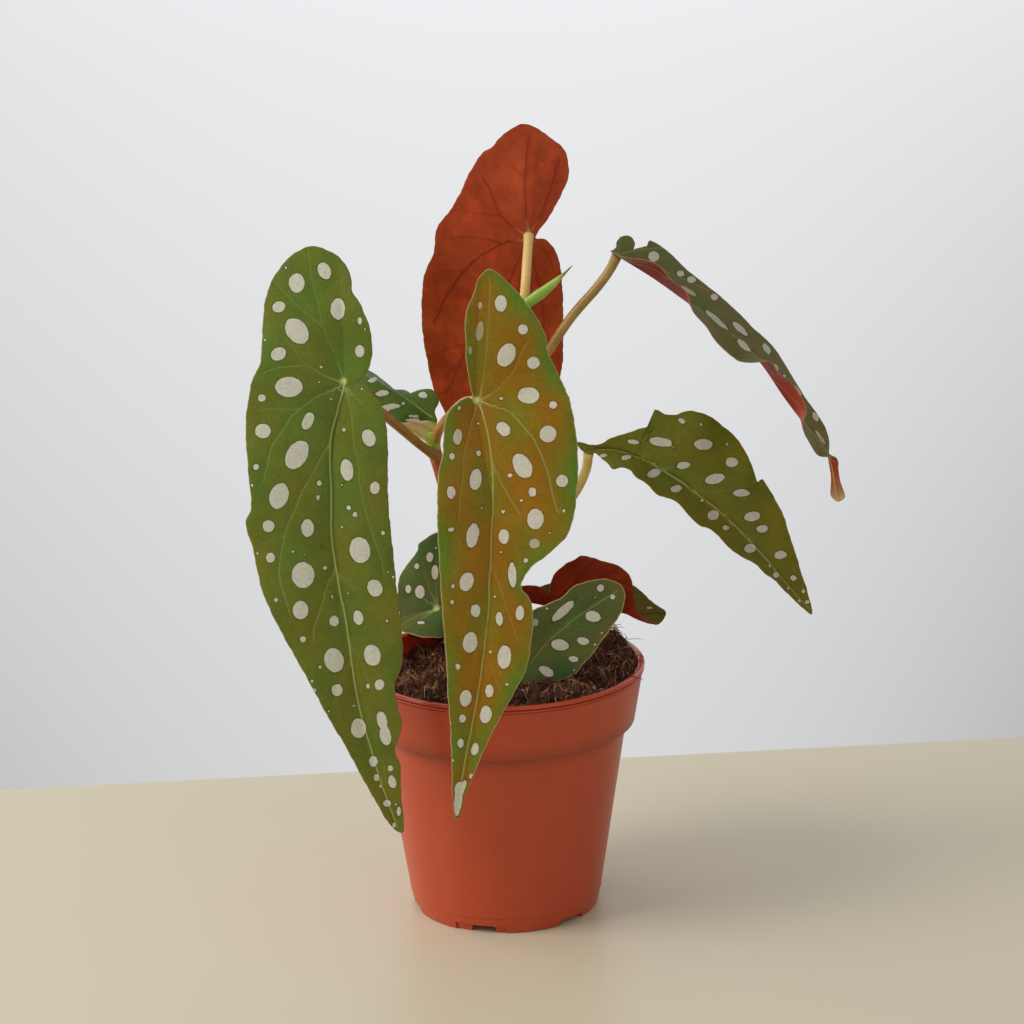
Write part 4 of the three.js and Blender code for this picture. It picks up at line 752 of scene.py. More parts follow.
        "fold": [[0, 75, 60, 0, 0], [25, 75, 60, 0, 0], [50, 60, 60, 0, 0]],
        "wave": [0.5, 24, 20, 0],
        "spine": [[3, 0], [42, 1]],
        "outline": [[-0.3, -6.2], [-0.4, -13], [1, -17.2], [4.8, -22.5], [11.4, -25.7], [16, -25.5],
                    [22.6, -22.3], [27.3, -21.4], [29.5, -19.9], [31.5, -16.8], [34, -10.5], [36.1, -5.6],
                    [39.5, -2.6], [45, -1], [50.2, 0.6], [52.3, 4], [52.3, 6.7], [48, 8.8], [42.5, 11.2],
                    [36, 13], [28, 14.5], [16, 14], [5, 11.5], [-4, 8], [-11, 4.5], [-14.5, 0],
                    [-14.5, -5], [-12.5, -7.3], [-9, -8], [-4.8, -7.8], [-2, -6.9]],
        "petiole": [[11, 19.5, 108], [12, 22, 115], [15, 25, 120]],
        "petioleRadius": 1.6,
        "slot": "red_leaf",
        "shadedGreen": 0.6, "aged": 0.1, "lit": 0.2, "dry": 0.1,
        "upperSeen": False, "navelOff": 60, "through": 0.4, "marginScale": 1.2,
        "dots": [[649, 608, 6, 2.5, 0]],
    },
}

bladeMake = {
    "thickness": 0.5,
    "edgeSpacing": 0.75,        # mm between points round the edge
    "ringSpacing": 0.75,        # mm between the rings of points
    "linkSpacing": 1.6,         # mm between the points on the midrib, over twice the edge's
    "relief": 0.2,              # mm that the skin puffs up between veins
    "groove": 0.16,             # mm that a vein is sunk
    "raggedEdge": 0.3,          # mm of unevenness round the edge
    "spread": 0.4,              # mm that the edge lies outside the outline
}


def bladeSurface(leaf):
    # A blade is a sheet bent along its midrib. The midrib is a smooth curve by its own length. Each half
    # leaves it at its fold angle and bends on by its curl, and a wave lifts it by the square of across.
    share = 60
    line = smoothCurve(leaf["midrib"], share)
    lengths = np.concatenate([[0], np.cumsum(np.linalg.norm(np.diff(line, axis=0), axis=1))])
    lengths = lengths - lengths[leaf["petioleAt"] * share]
    tangents = np.gradient(line, lengths, axis=0)
    waveShift, waveLimit = 1.9, 2.5

    def surface(flat):
        along, across = flat[..., 0], flat[..., 1]
        point = np.stack([np.interp(along, lengths, line[:, i]) for i in range(3)], -1)
        ahead = np.stack([np.interp(along, lengths, tangents[:, i]) for i in range(3)], -1)
        ahead /= np.linalg.norm(ahead, axis=-1)[..., None]
        point = point + (along - np.clip(along, lengths[0], lengths[-1]))[..., None] * ahead
        up = stationValues(leaf["facing"], along)
        up = up - (up * ahead).sum(-1)[..., None] * ahead
        up /= np.linalg.norm(up, axis=-1)[..., None]
        side = np.cross(up, ahead)
        folds = stationValues(leaf["fold"], along)
        far = across >= 0
        fold = np.radians(np.where(far, folds[..., 1], folds[..., 0]))
        halfTurn = np.radians(np.where(far, folds[..., 3], folds[..., 2])) * np.abs(across) / 2
        chord = across * np.sinc(halfTurn / np.pi)
        height, length, halfWidth, start = leaf["wave"]
        growth = np.minimum((across / halfWidth) ** 2, waveLimit)
        wave = height * growth * np.sin(2 * np.pi * along / length + start + np.where(far, 0, waveShift))
        lift = np.abs(chord) * np.sin(fold + halfTurn) + wave
        return point + (chord * np.cos(fold + halfTurn))[..., None] * side + lift[..., None] * up

    return surface


def isInside(points, outline):
    # odd-even rule: how often a line to the right of a point crosses the outline
    a, b = outline, np.roll(outline, -1, axis=0)
    x, y = points[:, :1], points[:, 1:]
    crosses = (a[None, :, 1] > y) != (b[None, :, 1] > y)
    rise = np.where(b[:, 1] == a[:, 1], 1e-9, b[:, 1] - a[:, 1])
    reach = a[None, :, 0] + (y - a[None, :, 1]) * (b[:, 0] - a[:, 0])[None] / rise[None]
    return (crosses & (x < reach)).sum(1) % 2 == 1


def veinPath(start, heading, bend, length, side, outline):
    # short steps whose heading swings steadily towards the tip, cut off where they leave the blade
    steps = 16
    turns = np.radians(heading - bend * np.linspace(0, 1, steps))
    hops = np.stack([np.cos(turns), side * np.sin(turns)], -1) * length / steps
    path = np.vstack([[start], start + np.cumsum(hops, axis=0)])
    inside = isInside(path, outline)
    last = len(path) if inside.all() else int(np.argmin(inside))
    return path[:max(last, 2)]


def leafVeins(outline, seed):
    # main veins fan out from the petiole and fork once; side veins leave the midrib in pairs further on
    random = np.random.default_rng(seed)
    tip = outline[:, 0].max()
    wide = np.abs(outline[:, 1]).max()
    veins = []
    for side in (1, -1):
        for heading in (30, 58, 92, 134):
            heading = heading + random.uniform(-5, 5)
            length = (0.95 * tip if heading < 60 else 2.1 * wide) * random.uniform(0.9, 1.0)
            bend = random.uniform(14, 22) * (1 if heading < 110 else -0.6)
            path = veinPath(np.zeros(2), heading, bend, length, side, outline)
            veins.append((path, 0.7))
            if len(path) > 8:
                fork = int(len(path) * random.uniform(0.4, 0.55))
                leaving = heading - bend * fork / 16
                for turn in (17, -15):
                    branch = veinPath(path[fork], leaving + turn, bend * 0.5, length * 0.55, side, outline)
                    veins.append((branch, 0.4))
        for start in np.arange(0.26, 0.9, 0.15) * tip:
            heading = random.uniform(30, 40)
            veins.append((veinPath(np.array([start, 0.0]), heading, 16, wide * 1.9, side, outline), 0.45))
    tipPoint = outline[np.argmax(outline[:, 0])]
    veins.append((np.vstack([[0, 0], [tipPoint[0] * 0.5, 0], tipPoint]), 1.0))
    return veins


def paintedVeins(leaf, flat, pixels, seen):
    # veins as the photograph shows them: each pixel of a path becomes a mean of the nearest seen points,
    # the nearer the heavier
    veins = []
    for weight, path in leaf["veins"]:
        marks = []
        for x, y in smoothCurve(path, 4):
            away = np.hypot(pixels[:, 0] - x, pixels[:, 1] - y) + np.where(seen, 0, 60)
            close = np.argsort(away)[:5]
            share = 1 / (away[close] ** 2 + 0.05)
            marks.append((flat[close] * share[:, None]).sum(0) / share.sum())
        veins.append((np.array(marks), weight))
    return veins


def gapTo(flat, path):
    # distance from each flat point to the nearest stretch of a path, and the same with a sign for the side
    best = np.full(len(flat), 1e3)
    sided = np.full(len(flat), 1e3)
    for a, b in zip(path[:-1], path[1:]):
        step = b - a
        share = np.clip(((flat - a) @ step) / max(step @ step, 1e-9), 0, 1)
        offset = flat - (a + share[:, None] * step)
        away = np.linalg.norm(offset, axis=1)
        turn = np.where(step[0] * offset[:, 1] - step[1] * offset[:, 0] < 0, -1, 1)
        sided = np.where(away < best, away * turn, sided)
        best = np.minimum(best, away)
    return best, sided


def veinFields(veins, flat):
    # over all the veins: the least gap, that gap with its sign, and the weight of the vein it belongs to
    gap, sided, weight = np.full(len(flat), 9.0), np.full(len(flat), 9.0), np.zeros(len(flat))
    for path, strength in veins:
        away, turned = gapTo(flat, path)
        nearer = away < gap
        sided = np.where(nearer, turned, sided)
        weight = np.where(nearer, strength, weight)
        gap = np.minimum(gap, away)
    return gap, sided, weight


def dotField(leaf, flat, pixels, seenUpper, seed, outline):
    # the gap in millimetres to the nearest dot's edge, and how pale that dot is. A dot that the photograph
    # shows is an ellipse in its pixels; the side that it doesn't show gets dots by a seeded rule.
    gap = np.full(len(flat), 9.0)
    strength = np.ones(len(flat))
    random = np.random.default_rng(seed)
    for dot in leaf["dots"]:
        x, y, width, height, lean = dot[:5]
        width, height = width * 0.96, height * 0.96
        away = pixels - np.array([x, y])
        nearest = np.argmin(np.hypot(away[:, 0], away[:, 1]) + np.where(seenUpper, 0, 40))
        reach = np.linalg.norm(flat - flat[nearest], axis=1)
        turn = math.radians(lean)
        across = away[:, 0] * math.cos(turn) + away[:, 1] * math.sin(turn)
        alongIt = -away[:, 0] * math.sin(turn) + away[:, 1] * math.cos(turn)
        shape = np.hypot(across / (width / 2), alongIt / (height / 2)) - 1
        own = np.where(reach < 14, shape * min(width, height) / 2 / 2.42, 9.0)
        strength = np.where(own < gap, dot[5] if len(dot) > 5 else 1.0, strength)
        gap = np.minimum(gap, own)
    if not leaf["dots"]:
        for _ in range(46):
            centre = random.uniform(outline.min(0), outline.max(0))
            radius = random.choice([0.6, 1.0, 1.8, 2.8, 3.6])
            nearest = np.argmin(np.linalg.norm(flat - centre, axis=1))
            if not isInside(centre[None], outline)[0] or gap[nearest] < 3:
                continue
            own = np.linalg.norm((flat - centre) * [0.8, 1.05], axis=1) - radius
            gap = np.minimum(gap, own)
    return np.clip(gap, -5, 9), strength


def colourMix(first, second, share):
    # the first colour moved towards the second by the share, in linear light
    return first + (second - first) * np.reshape(np.clip(share, 0, 1), (-1, 1))


def leafTints(leaf, flat, edgeGap, seed):
    # Age is the leaf's own share, plus slow waves and a gain towards the tip, less what a green edge takes.
    # The upper face is green moved to a darker shaded green, which is painted shade, then to bronze by age.
    # The underside is wine moved to a lit red, which is painted light coming through it, with the same waves
    # and gain.
    # A dry tip fades to straw by its distance.
    make = leafColourMake
    colour = {name: np.array(linear(value)[:3]) for name, value in leafColours.items()}
    along, across = flat[:, 0], flat[:, 1]
    wave = np.sin(2 * np.pi * along / make["waveLength"] + seed)
    wave = wave * np.cos(2 * np.pi * across / make["waveWidth"] + seed)
    change = leaf.get("swing", make["swing"]) * wave + make["towardTip"] * np.clip(along / along.max(), 0, 1)
    nearEdge = np.clip(1 - edgeGap / make["greenEdge"], 0, 1)
    # painted shade: the upper face is darkened towards a shaded green by the leaf's share
    upper = colourMix(colour["green"], colour["shadedGreen"], leaf["shadedGreen"])
    upper = colourMix(upper, colour["bronze"], leaf["aged"] + change - leaf.get("greenEdge", 0) * nearEdge)
    # painted light: the underside is brightened towards a lit red by the leaf's share of light coming through
    # it
    under = colourMix(colour["wine"], colour["litRed"], leaf["lit"] + change)
    tip = leaf.get("dryTip", 0) * np.exp((along - along.max()) / make["dryTip"])
    upper, under = colourMix(upper, colour["straw"], tip), colourMix(under, colour["straw"], tip)
    paleLine = colourMix(upper, colour["pale"], make["lineShare"])
    line = paleLine if leaf.get("upperSeen", True) else under * make["lineDark"]
    margin = colourMix(colour["rust"], colour["straw"], np.full(len(flat), leaf["dry"]))
    tints = {"upperTint": upper, "underTint": under, "lineTint": line, "marginTint": margin}
    return {name: np.clip(tint * leafFinish["tintLift"], 0, 0.95) for name, tint in tints.items()}


def makeBlade(name, leaf, upperSkin, underSkin, seed):
    # rings of points from the midrib out to the edge, on both faces, and a rounded strip round the edge
    random = np.random.default_rng(seed)
    make = bladeMake
    outline = evenly(smoothCurve(leaf["outline"], 24, closed=True), make["edgeSpacing"], closed=True)
    nextPoint = np.roll(outline, -1, axis=0)
    if (outline[:, 0] * nextPoint[:, 1] - outline[:, 1] * nextPoint[:, 0]).sum() < 0:
        outline = outline[::-1]
    count = len(outline)
    turn = np.linspace(0, 2 * np.pi, count, endpoint=False)
    rough = sum(np.sin(turn * int(count / size) + random.uniform(0, 6.28)) * share
                for size, share in ((14, 0.5), (8, 0.3), (5, 0.3)))
    edgeStep = np.roll(outline, -1, axis=0) - np.roll(outline, 1, axis=0)
    outward = np.stack([edgeStep[:, 1], -edgeStep[:, 0]], -1)
    outward /= np.linalg.norm(outward, axis=1)[:, None] + 1e-9
    outline = outline + outward * (rough * make["raggedEdge"] * 0.6 + make["spread"])[:, None]

    start, end = np.array(leaf["spine"], float)
    links = max(2, int(round((end[0] - start[0]) / make["linkSpacing"])))
    spine = start + (end - start) * np.linspace(0, 1, links + 1)[:, None]
    root = np.clip(np.round((outline[:, 0] - start[0]) / (end[0] - start[0]) * links), 0, links).astype(int)
    reach = np.linalg.norm(outline - spine[root], axis=1)
    rings = int(np.ceil(reach.max() / make["ringSpacing"]))
    shares = np.linspace(1 / rings, 1, rings)[:, None] * np.ones(count)
    lastBut = 1 - np.minimum(0.3 / reach, 0.4 / rings)
    shares = np.vstack([shares[:-1], lastBut[None], shares[-1:]])
    rings += 1
    flat = spine[root][None] + (outline - spine[root])[None] * shares[..., None]
    edgeGap = np.concatenate([np.full(links + 1, 9.0), ((1 - shares) * reach[None]).ravel()])
    flat = np.vstack([spine, flat.reshape(-1, 2)])

    surface = bladeSurface(leaf)
    nearby = 0.4
    middle = surface(flat)
    ahead = surface(flat + [nearby, 0]) - surface(flat - [nearby, 0])
    sideways = surface(flat + [0, nearby]) - surface(flat - [0, nearby])
    normal = np.cross(ahead, sideways)
    normal /= np.linalg.norm(normal, axis=1)[:, None]

    towardCamera = np.array(cameraFit["place"]) - middle
    facesCamera = (normal * towardCamera).sum(1) > 0
    if leaf.get("veins"):
        seen = facesCamera if leaf.get("upperSeen", True) else ~facesCamera
        veins = paintedVeins(leaf, flat, photoPixels(middle), seen)
    else:
        veins = leafVeins(outline, seed)
    veinGap, veinSide, veinWeight = veinFields(veins, flat)
    fade = np.clip(edgeGap / 3, 0, 1) * leaf.get("puff", 1.0)
    shadeOff, shadeWidth = 0.9, 0.75
    shadeSide = leaf.get("shadeSide", 0)
    shade = np.exp(-((veinSide * shadeSide - shadeOff) / shadeWidth) ** 2) * (veinWeight > 0.9)
    shade = shade * abs(shadeSide) * np.exp(-(flat[:, 0] / (0.6 * flat[:, 0].max())) ** 2)
    relief = make["relief"] * (1 - np.exp(-(veinGap / 3.2) ** 2)) * fade
    relief = relief - make["groove"] * np.exp(-(veinGap / 0.9) ** 2) * veinWeight * fade
    middle = middle + normal * relief[:, None]

    pixels = photoPixels(middle)
    dotGap, dotStrength = dotField(leaf, flat, pixels, facesCamera, seed + 7, outline)
    half = make["thickness"] / 2 * np.sqrt(np.clip(edgeGap / 0.4, 0.12, 1))
    under = half + 0.12 * np.exp(-(veinGap / 0.7) ** 2) * veinWeight * fade
    points = np.vstack([middle + normal * half[:, None], middle - normal * under[:, None]])

    total = len(flat)
    first = links + 1 + np.arange(count)
    following = links + 1 + (np.arange(count) + 1) % count
    nextRoot = root[(np.arange(count) + 1) % count]
    fan = np.stack([root, first, following], -1)
    steps = nextRoot != root
    gore = np.stack([root, following, nextRoot], -1)[steps]
    quads = np.array(gridFaces(rings, count, links + 1))[:, [0, 3, 2, 1]]
    inner = np.vstack([fan, gore])
    rim = (rings - 1) * count
    strip = np.stack([rim + following, rim + first, rim + first + total, rim + following + total], -1)
    faces = inner.tolist() + quads.tolist()
    faces += (inner[:, ::-1] + total).tolist() + (quads[:, ::-1] + total).tolist() + strip.tolist()
    perSide = len(inner) + len(quads)
    slots = np.concatenate([np.zeros(perSide), np.ones(perSide), np.zeros(count)])

    twice = lambda values: np.concatenate([values, values])
    fields = {
        "veinGap": twice(veinGap), "veinSide": twice(veinSide), "veinWeight": twice(veinWeight),
        "veinShade": twice(shade), "through": twice(0 * shade + leaf.get("through", leafFinish["through"])),
        "edgeGap": twice(edgeGap / leaf.get("marginScale", 1.0)),
        "dotGap": twice(dotGap), "dotStrength": twice(dotStrength),
        "navelGap": twice(np.linalg.norm(flat, axis=1) + leaf.get("navelOff", 0)),
    }
    fields.update({key: twice(tint) for key, tint in leafTints(leaf, flat, edgeGap, seed).items()})
    return makePiece(f"leaf_{name}", points, faces, [upperSkin, underSkin], slots, fields, twice(flat),
                     node=[f"blade_{name}"])


# Stems
# stalks: colours by the cane, by the blade and of the painted highlight streaks, for each leaf or for the
# rest
stemFinish = {
    "roughness": 0.36,
    "stalks": {"rest": ["#B08A3C", "#A08A44", "#D0AC70"], "front_left": ["#A87C30", "#B48A3A", "#C8AC54"],
               "front_centre": ["#C89A4A", "#C89A50", "#E0B878"],
               "back_top": ["#ECC068", "#F0D084", "#F8E4AC"],
               "right_middle": ["#CCB052", "#DCCA68", "#F0DE90"]},
    "cane": "#C06A38", "caneDark": "#964A28", "caneRing": "#C89A66", "caneTop": "#A4CC4A",
}


def stalkSkin(name, near, far, lit, end=None):
    # Petiole skin, grown. The eye gets a satin, slightly translucent stalk, greener near the blade and
    # redder near the cane, with faint streaks of painted highlight and a few pale lenticels.
    material, tree = newMaterial(name)
    place = add(tree, "ShaderNodeTexCoord").outputs["Object"]
    along = attribute(tree, "alongIt")
    colour = mixed(tree, along, linear(near), linear(far))
    blotch = noise(tree, place, 9, detail=3)
    # painted highlights: lighter blotches in the lit colour
    colour = mixed(tree, ramp(tree, blotch, [[0.4, 0.0], [0.75, 0.6]]), colour, linear(lit))
    if end:
        colour = mixed(tree, ramp(tree, along, [[0.72, 0.0], [0.95, 1.0]]), colour, linear(end))
    fine = noise(tree, place, 0.8, detail=2)
    colour = mixed(tree, 1.0, colour, ramp(tree, fine, [[0.3, 0.78], [0.7, 1.0]]), "MULTIPLY")
    specks = add(tree, "ShaderNodeTexVoronoi", {"Vector": place, "Scale": 1000 / 2.2}).outputs["Distance"]
    lenticels = sums(tree, "MULTIPLY", within(tree, specks, 0.08, 0.16), 0.4)
    colour = mixed(tree, lenticels, colour, linear("#D8C79A"))
    bump = add(tree, "ShaderNodeBump", {"Height": fine, "Strength": 0.4, "Distance": 0.00015})
    skin = add(tree, "ShaderNodeBsdfPrincipled",
               {"Base Color": colour, "Roughness": stemFinish["roughness"], "Normal": bump.outputs["Normal"],
                "Subsurface Weight": 0.15, "Subsurface Scale": 0.002})
    add(tree, "ShaderNodeOutputMaterial", {"Surface": skin.outputs[0]})
    return material


def behindBlade(points, surface):
    # points of a petiole's end that would come through the blade are laid on a plane just behind it
    near = 9.0
    step = 0.5
    at = surface(np.array([[0.0, 0.0]]))[0]
    ends = surface(np.array([[step, 0.0], [-step, 0.0], [0.0, step], [0.0, -step]]))
    normal = np.cross(ends[0] - ends[1], ends[2] - ends[3])
    normal /= np.linalg.norm(normal)
    height = (points - at) @ normal + bladeMake["thickness"] / 2 + 0.25
    through = (np.linalg.norm(points - at, axis=1) < near) & (height > 0)
    return points - np.where(through, height, 0)[:, None] * normal


def makePetiole(name, leaf, skin):
    # a tube along the petiole's curve, stouter where it leaves the cane and flared under the blade
    surface = bladeSurface(leaf)
    end = surface(np.array([[0.0, 0.0]]))
    path = evenly(smoothCurve(np.vstack([leaf["petiole"], end]), 24), 0.9)
    share = np.linspace(0, 1, len(path))
    radius = leaf["petioleRadius"]
    radii = radius * (0.95 + 0.22 * np.exp(-(share / 0.08) ** 2) + 0.12 * np.exp(-((1 - share) / 0.05) ** 2))
    points, faces, along = tube(path, radii, sides=18, squeeze=0.94)
    makePiece(f"stalk_{name}", behindBlade(points, surface), faces, [skin], fields={"alongIt": along},
              node=[f"petiole_{name}"])


canes = {
    "cane_left": [[-8, 8, 78], [-11, 8, 105], [-16, 7, 140], [-20, 5, 172], [-24, 4, 190], [-27, 4, 202],
                  [-26.5, 3, 209]],
    "cane_right": [[2, 6, 78], [2, 6, 105], [4, 5, 140], [9, 3, 175], [14, 1, 210], [14, 0, 240],
                   [11, 0, 264]],
    "cane_low": [[10, 19, 78], [10, 19, 100], [11, 20, 112]],
}
caneMake = {"radius": 3.0, "ringEvery": 34, "ringSwell": 0.16, "freshLength": 9.5}


def caneSkin():
    # Young cane bark, grown. The eye gets reddish-brown satin skin, paler leaf-scar rings and small
    # lenticels.
    material, tree = newMaterial("begoniaCaneBark")
    place = add(tree, "ShaderNodeTexCoord").outputs["Object"]
    ring = attribute(tree, "alongIt")
    blotch = noise(tree, place, 7, detail=4)
    colour = mixed(tree, blotch, linear(stemFinish["caneDark"]), linear(stemFinish["cane"]))
    colour = mixed(tree, sums(tree, "MULTIPLY", ring, 0.8), colour, linear(stemFinish["caneRing"]))
    colour = mixed(tree, attribute(tree, "freshGrowth"), colour, linear(stemFinish["caneTop"]))
    specks = add(tree, "ShaderNodeTexVoronoi", {"Vector": place, "Scale": 1000 / 1.8}).outputs["Distance"]
    lenticels = sums(tree, "MULTIPLY", within(tree, specks, 0.1, 0.2), 0.5)
    colour = mixed(tree, lenticels, colour, linear("#B99A6C"))
    fine = noise(tree, place, 0.7, detail=3)
    bump = add(tree, "ShaderNodeBump", {"Height": fine, "Strength": 0.5, "Distance": 0.0003})
    skin = add(tree, "ShaderNodeBsdfPrincipled",
               {"Base Color": colour, "Roughness": 0.5, "Normal": bump.outputs["Normal"]})
    add(tree, "ShaderNodeOutputMaterial", {"Surface": skin.outputs[0]})
    return material


def makeCane(name, skin):
    # a tube along the cane's curve that swells at each leaf scar
    path = evenly(smoothCurve(canes[name], 24), 0.8)
    lengths = np.concatenate([[0], np.cumsum(np.linalg.norm(np.diff(path, axis=0), axis=1))])
    fromTop = lengths[-1] - lengths
    ring = np.exp(-(((fromTop + 9) % caneMake["ringEvery"] - 12) / 2.2) ** 2)
    swell = 1 + caneMake["ringSwell"] * np.exp(-(((fromTop + 9) % caneMake["ringEvery"] - 12) / 4.5) ** 2)
    points, faces, _ = tube(path, caneMake["radius"] * 0.95 * swell, sides=22)
    fresh = np.clip((caneMake["freshLength"] - fromTop) / 1.5, 0, 1)
    fields = {"alongIt": np.concatenate([np.repeat(ring, 22), [ring[0], ring[-1]]]),
              "freshGrowth": np.concatenate([np.repeat(fresh, 22), [fresh[0], fresh[-1]]])}
    makePiece(f"bark_{name}", points, faces, [skin], fields=fields, node=[name])


# New shoot and stipule
shootMake = {"base": [10.5, -1, 261.5], "tip": [32, -3, 279], "shares": [0, 0.12, 0.35, 0.6, 0.8, 1],
             "radii": [1.7, 2.2, 2.45, 1.7, 0.75, 0.12]}


def makeShoot(skin):
    # a rolled new leaf: a spindle whose radius is a sine bump skewed to its foot, creased along one side
    base, tip = np.array(shootMake["base"]), np.array(shootMake["tip"])
    share = np.linspace(0, 1, 60)
    sag = np.sin(share * np.pi)[:, None] * np.array([0.3, 0, -0.9])
    path = base + (tip - base) * share[:, None] + sag
    radii = np.interp(share, shootMake["shares"], shootMake["radii"])
    points, faces, along = tube(path, radii, sides=20, squeeze=0.72)
    makePiece("newShoot", points, faces, [skin], fields={"alongIt": along}, node=["shoot_top"])


stipule = {
    "midrib": [[-27, 1, 204], [-31, 1, 207], [-36, 0, 209.7], [-41, -1, 212]],
    "petioleAt": 0,
    "facing": [[0, 0.1, -0.8, 0.6], [16, 0.1, -0.8, 0.6]],
    "fold": [[0, 30, 40, 1.5, 1.5], [16, 30, 30, 0, 0]],
    "wave": [0.3, 7, 5, 0],
    "spine": [[4, 0], [12, 0]],
    "outline": [[0.5, 1.8], [4, 2.6], [8, 2.2], [12, 1.5], [16, 0.8], [17.2, -0.6], [14, -2.6], [10, -4.8],
                [6, -6.8], [3.2, -8.2], [1.2, -7.6], [0.2, -4], [0, -1]],
}


def paperSkin():
    # Dry stipule, withered on the plant. The eye gets thin tan paper with darker lengthwise nerves.
    material, tree = newMaterial("dryStipulePaper")
    flatPlace = add(tree, "ShaderNodeUVMap", uv_map="flatPlace").outputs["UV"]
    nerves = add(tree, "ShaderNodeTexWave", {"Vector": flatPlace, "Scale": 9.0, "Distortion": 4.0},
                 bands_direction="Y").outputs["Fac"]
    colour = ramp(tree, attribute(tree, "alongIt"), [[0.0, "#D0EC64"], [0.3, "#F4FAB4"], [0.62, "#FAEAC8"],
                                                     [1.0, "#ECD0A4"]])
    colour = mixed(tree, 1.0, colour, ramp(tree, nerves, [[0.0, 0.72], [0.6, 1.0]]), "MULTIPLY")
    bump = add(tree, "ShaderNodeBump", {"Height": nerves, "Strength": 0.4, "Distance": 0.0002})
    skin = add(tree, "ShaderNodeBsdfPrincipled",
               {"Base Color": colour, "Roughness": 0.7, "Normal": bump.outputs["Normal"]})
    through = add(tree, "ShaderNodeBsdfTranslucent", {"Color": linear("#E6D490")})
    both = add(tree, "ShaderNodeMixShader", {0: 0.45, 1: skin.outputs[0], 2: through.outputs[0]})
    add(tree, "ShaderNodeOutputMaterial", {"Surface": both.outputs[0]})
    return material


def makeStipule(skin):
    # the same sheet as a leaf blade, with no veins or dots of its own
    outline = evenly(smoothCurve(stipule["outline"], 24, closed=True), 0.4, closed=True)
    nextPoint = np.roll(outline, -1, axis=0)
    if (outline[:, 0] * nextPoint[:, 1] - outline[:, 1] * nextPoint[:, 0]).sum() < 0:
        outline = outline[::-1]
    count = len(outline)
    middlePoint = np.array([8.0, 0.0])
    shares = np.linspace(0.1, 1, 10)[:, None, None]
    flat = np.vstack([[middlePoint], (middlePoint + (outline - middlePoint)[None] * shares).reshape(-1, 2)])
    surface = bladeSurface(stipule)
    middle = surface(flat)
    normal = np.cross(surface(flat + [0.3, 0]) - surface(flat - [0.3, 0]),
                      surface(flat + [0, 0.3]) - surface(flat - [0, 0.3]))
    normal /= np.linalg.norm(normal, axis=1)[:, None]
    points = np.vstack([middle + normal * 0.15, middle - normal * 0.15])
    total = len(flat)
    here = np.arange(count)
    after = (here + 1) % count
    fan = np.stack([0 * here, 1 + here, 1 + after], -1)
    quads = np.array(gridFaces(10, count, 1))[:, [0, 3, 2, 1]]
    rim = 1 + 9 * count
    strip = np.stack([rim + after, rim + here, rim + here + total, rim + after + total], -1)
    faces = fan.tolist() + quads.tolist()
    faces += (fan[:, ::-1] + total).tolist() + (quads[:, ::-1] + total).tolist()
    along = np.clip(flat[:, 0] / 17, 0, 1)
    makePiece("dryStipule", points, faces + strip.tolist(), [skin], flat=np.vstack([flat, flat]),
              fields={"alongIt": np.concatenate([along, along])}, node=["stipule_left"])


# Pot
pot = {
    "rimRadius": 60.8, "rimTop": 107.8, "wall": 1.0, "footRadius": 39.8, "footHeight": 7.6,
    "stepHeight": 83.0, "stepRadius": 52.8, "ledge": 3.6,
    "notchHeight": 3.4, "narrowNotch": 2.2, "tabInset": 1.0, "drainRadius": 3.5, "drainRing": 33,
    "segments": 240,
    "colour": "#C04B25", "colourAlso": "#BA4420", "colourDeep": "#9C3A1C", "paintedCreaseShade": "#5E1E0E",
    "roughness": 0.36,
}


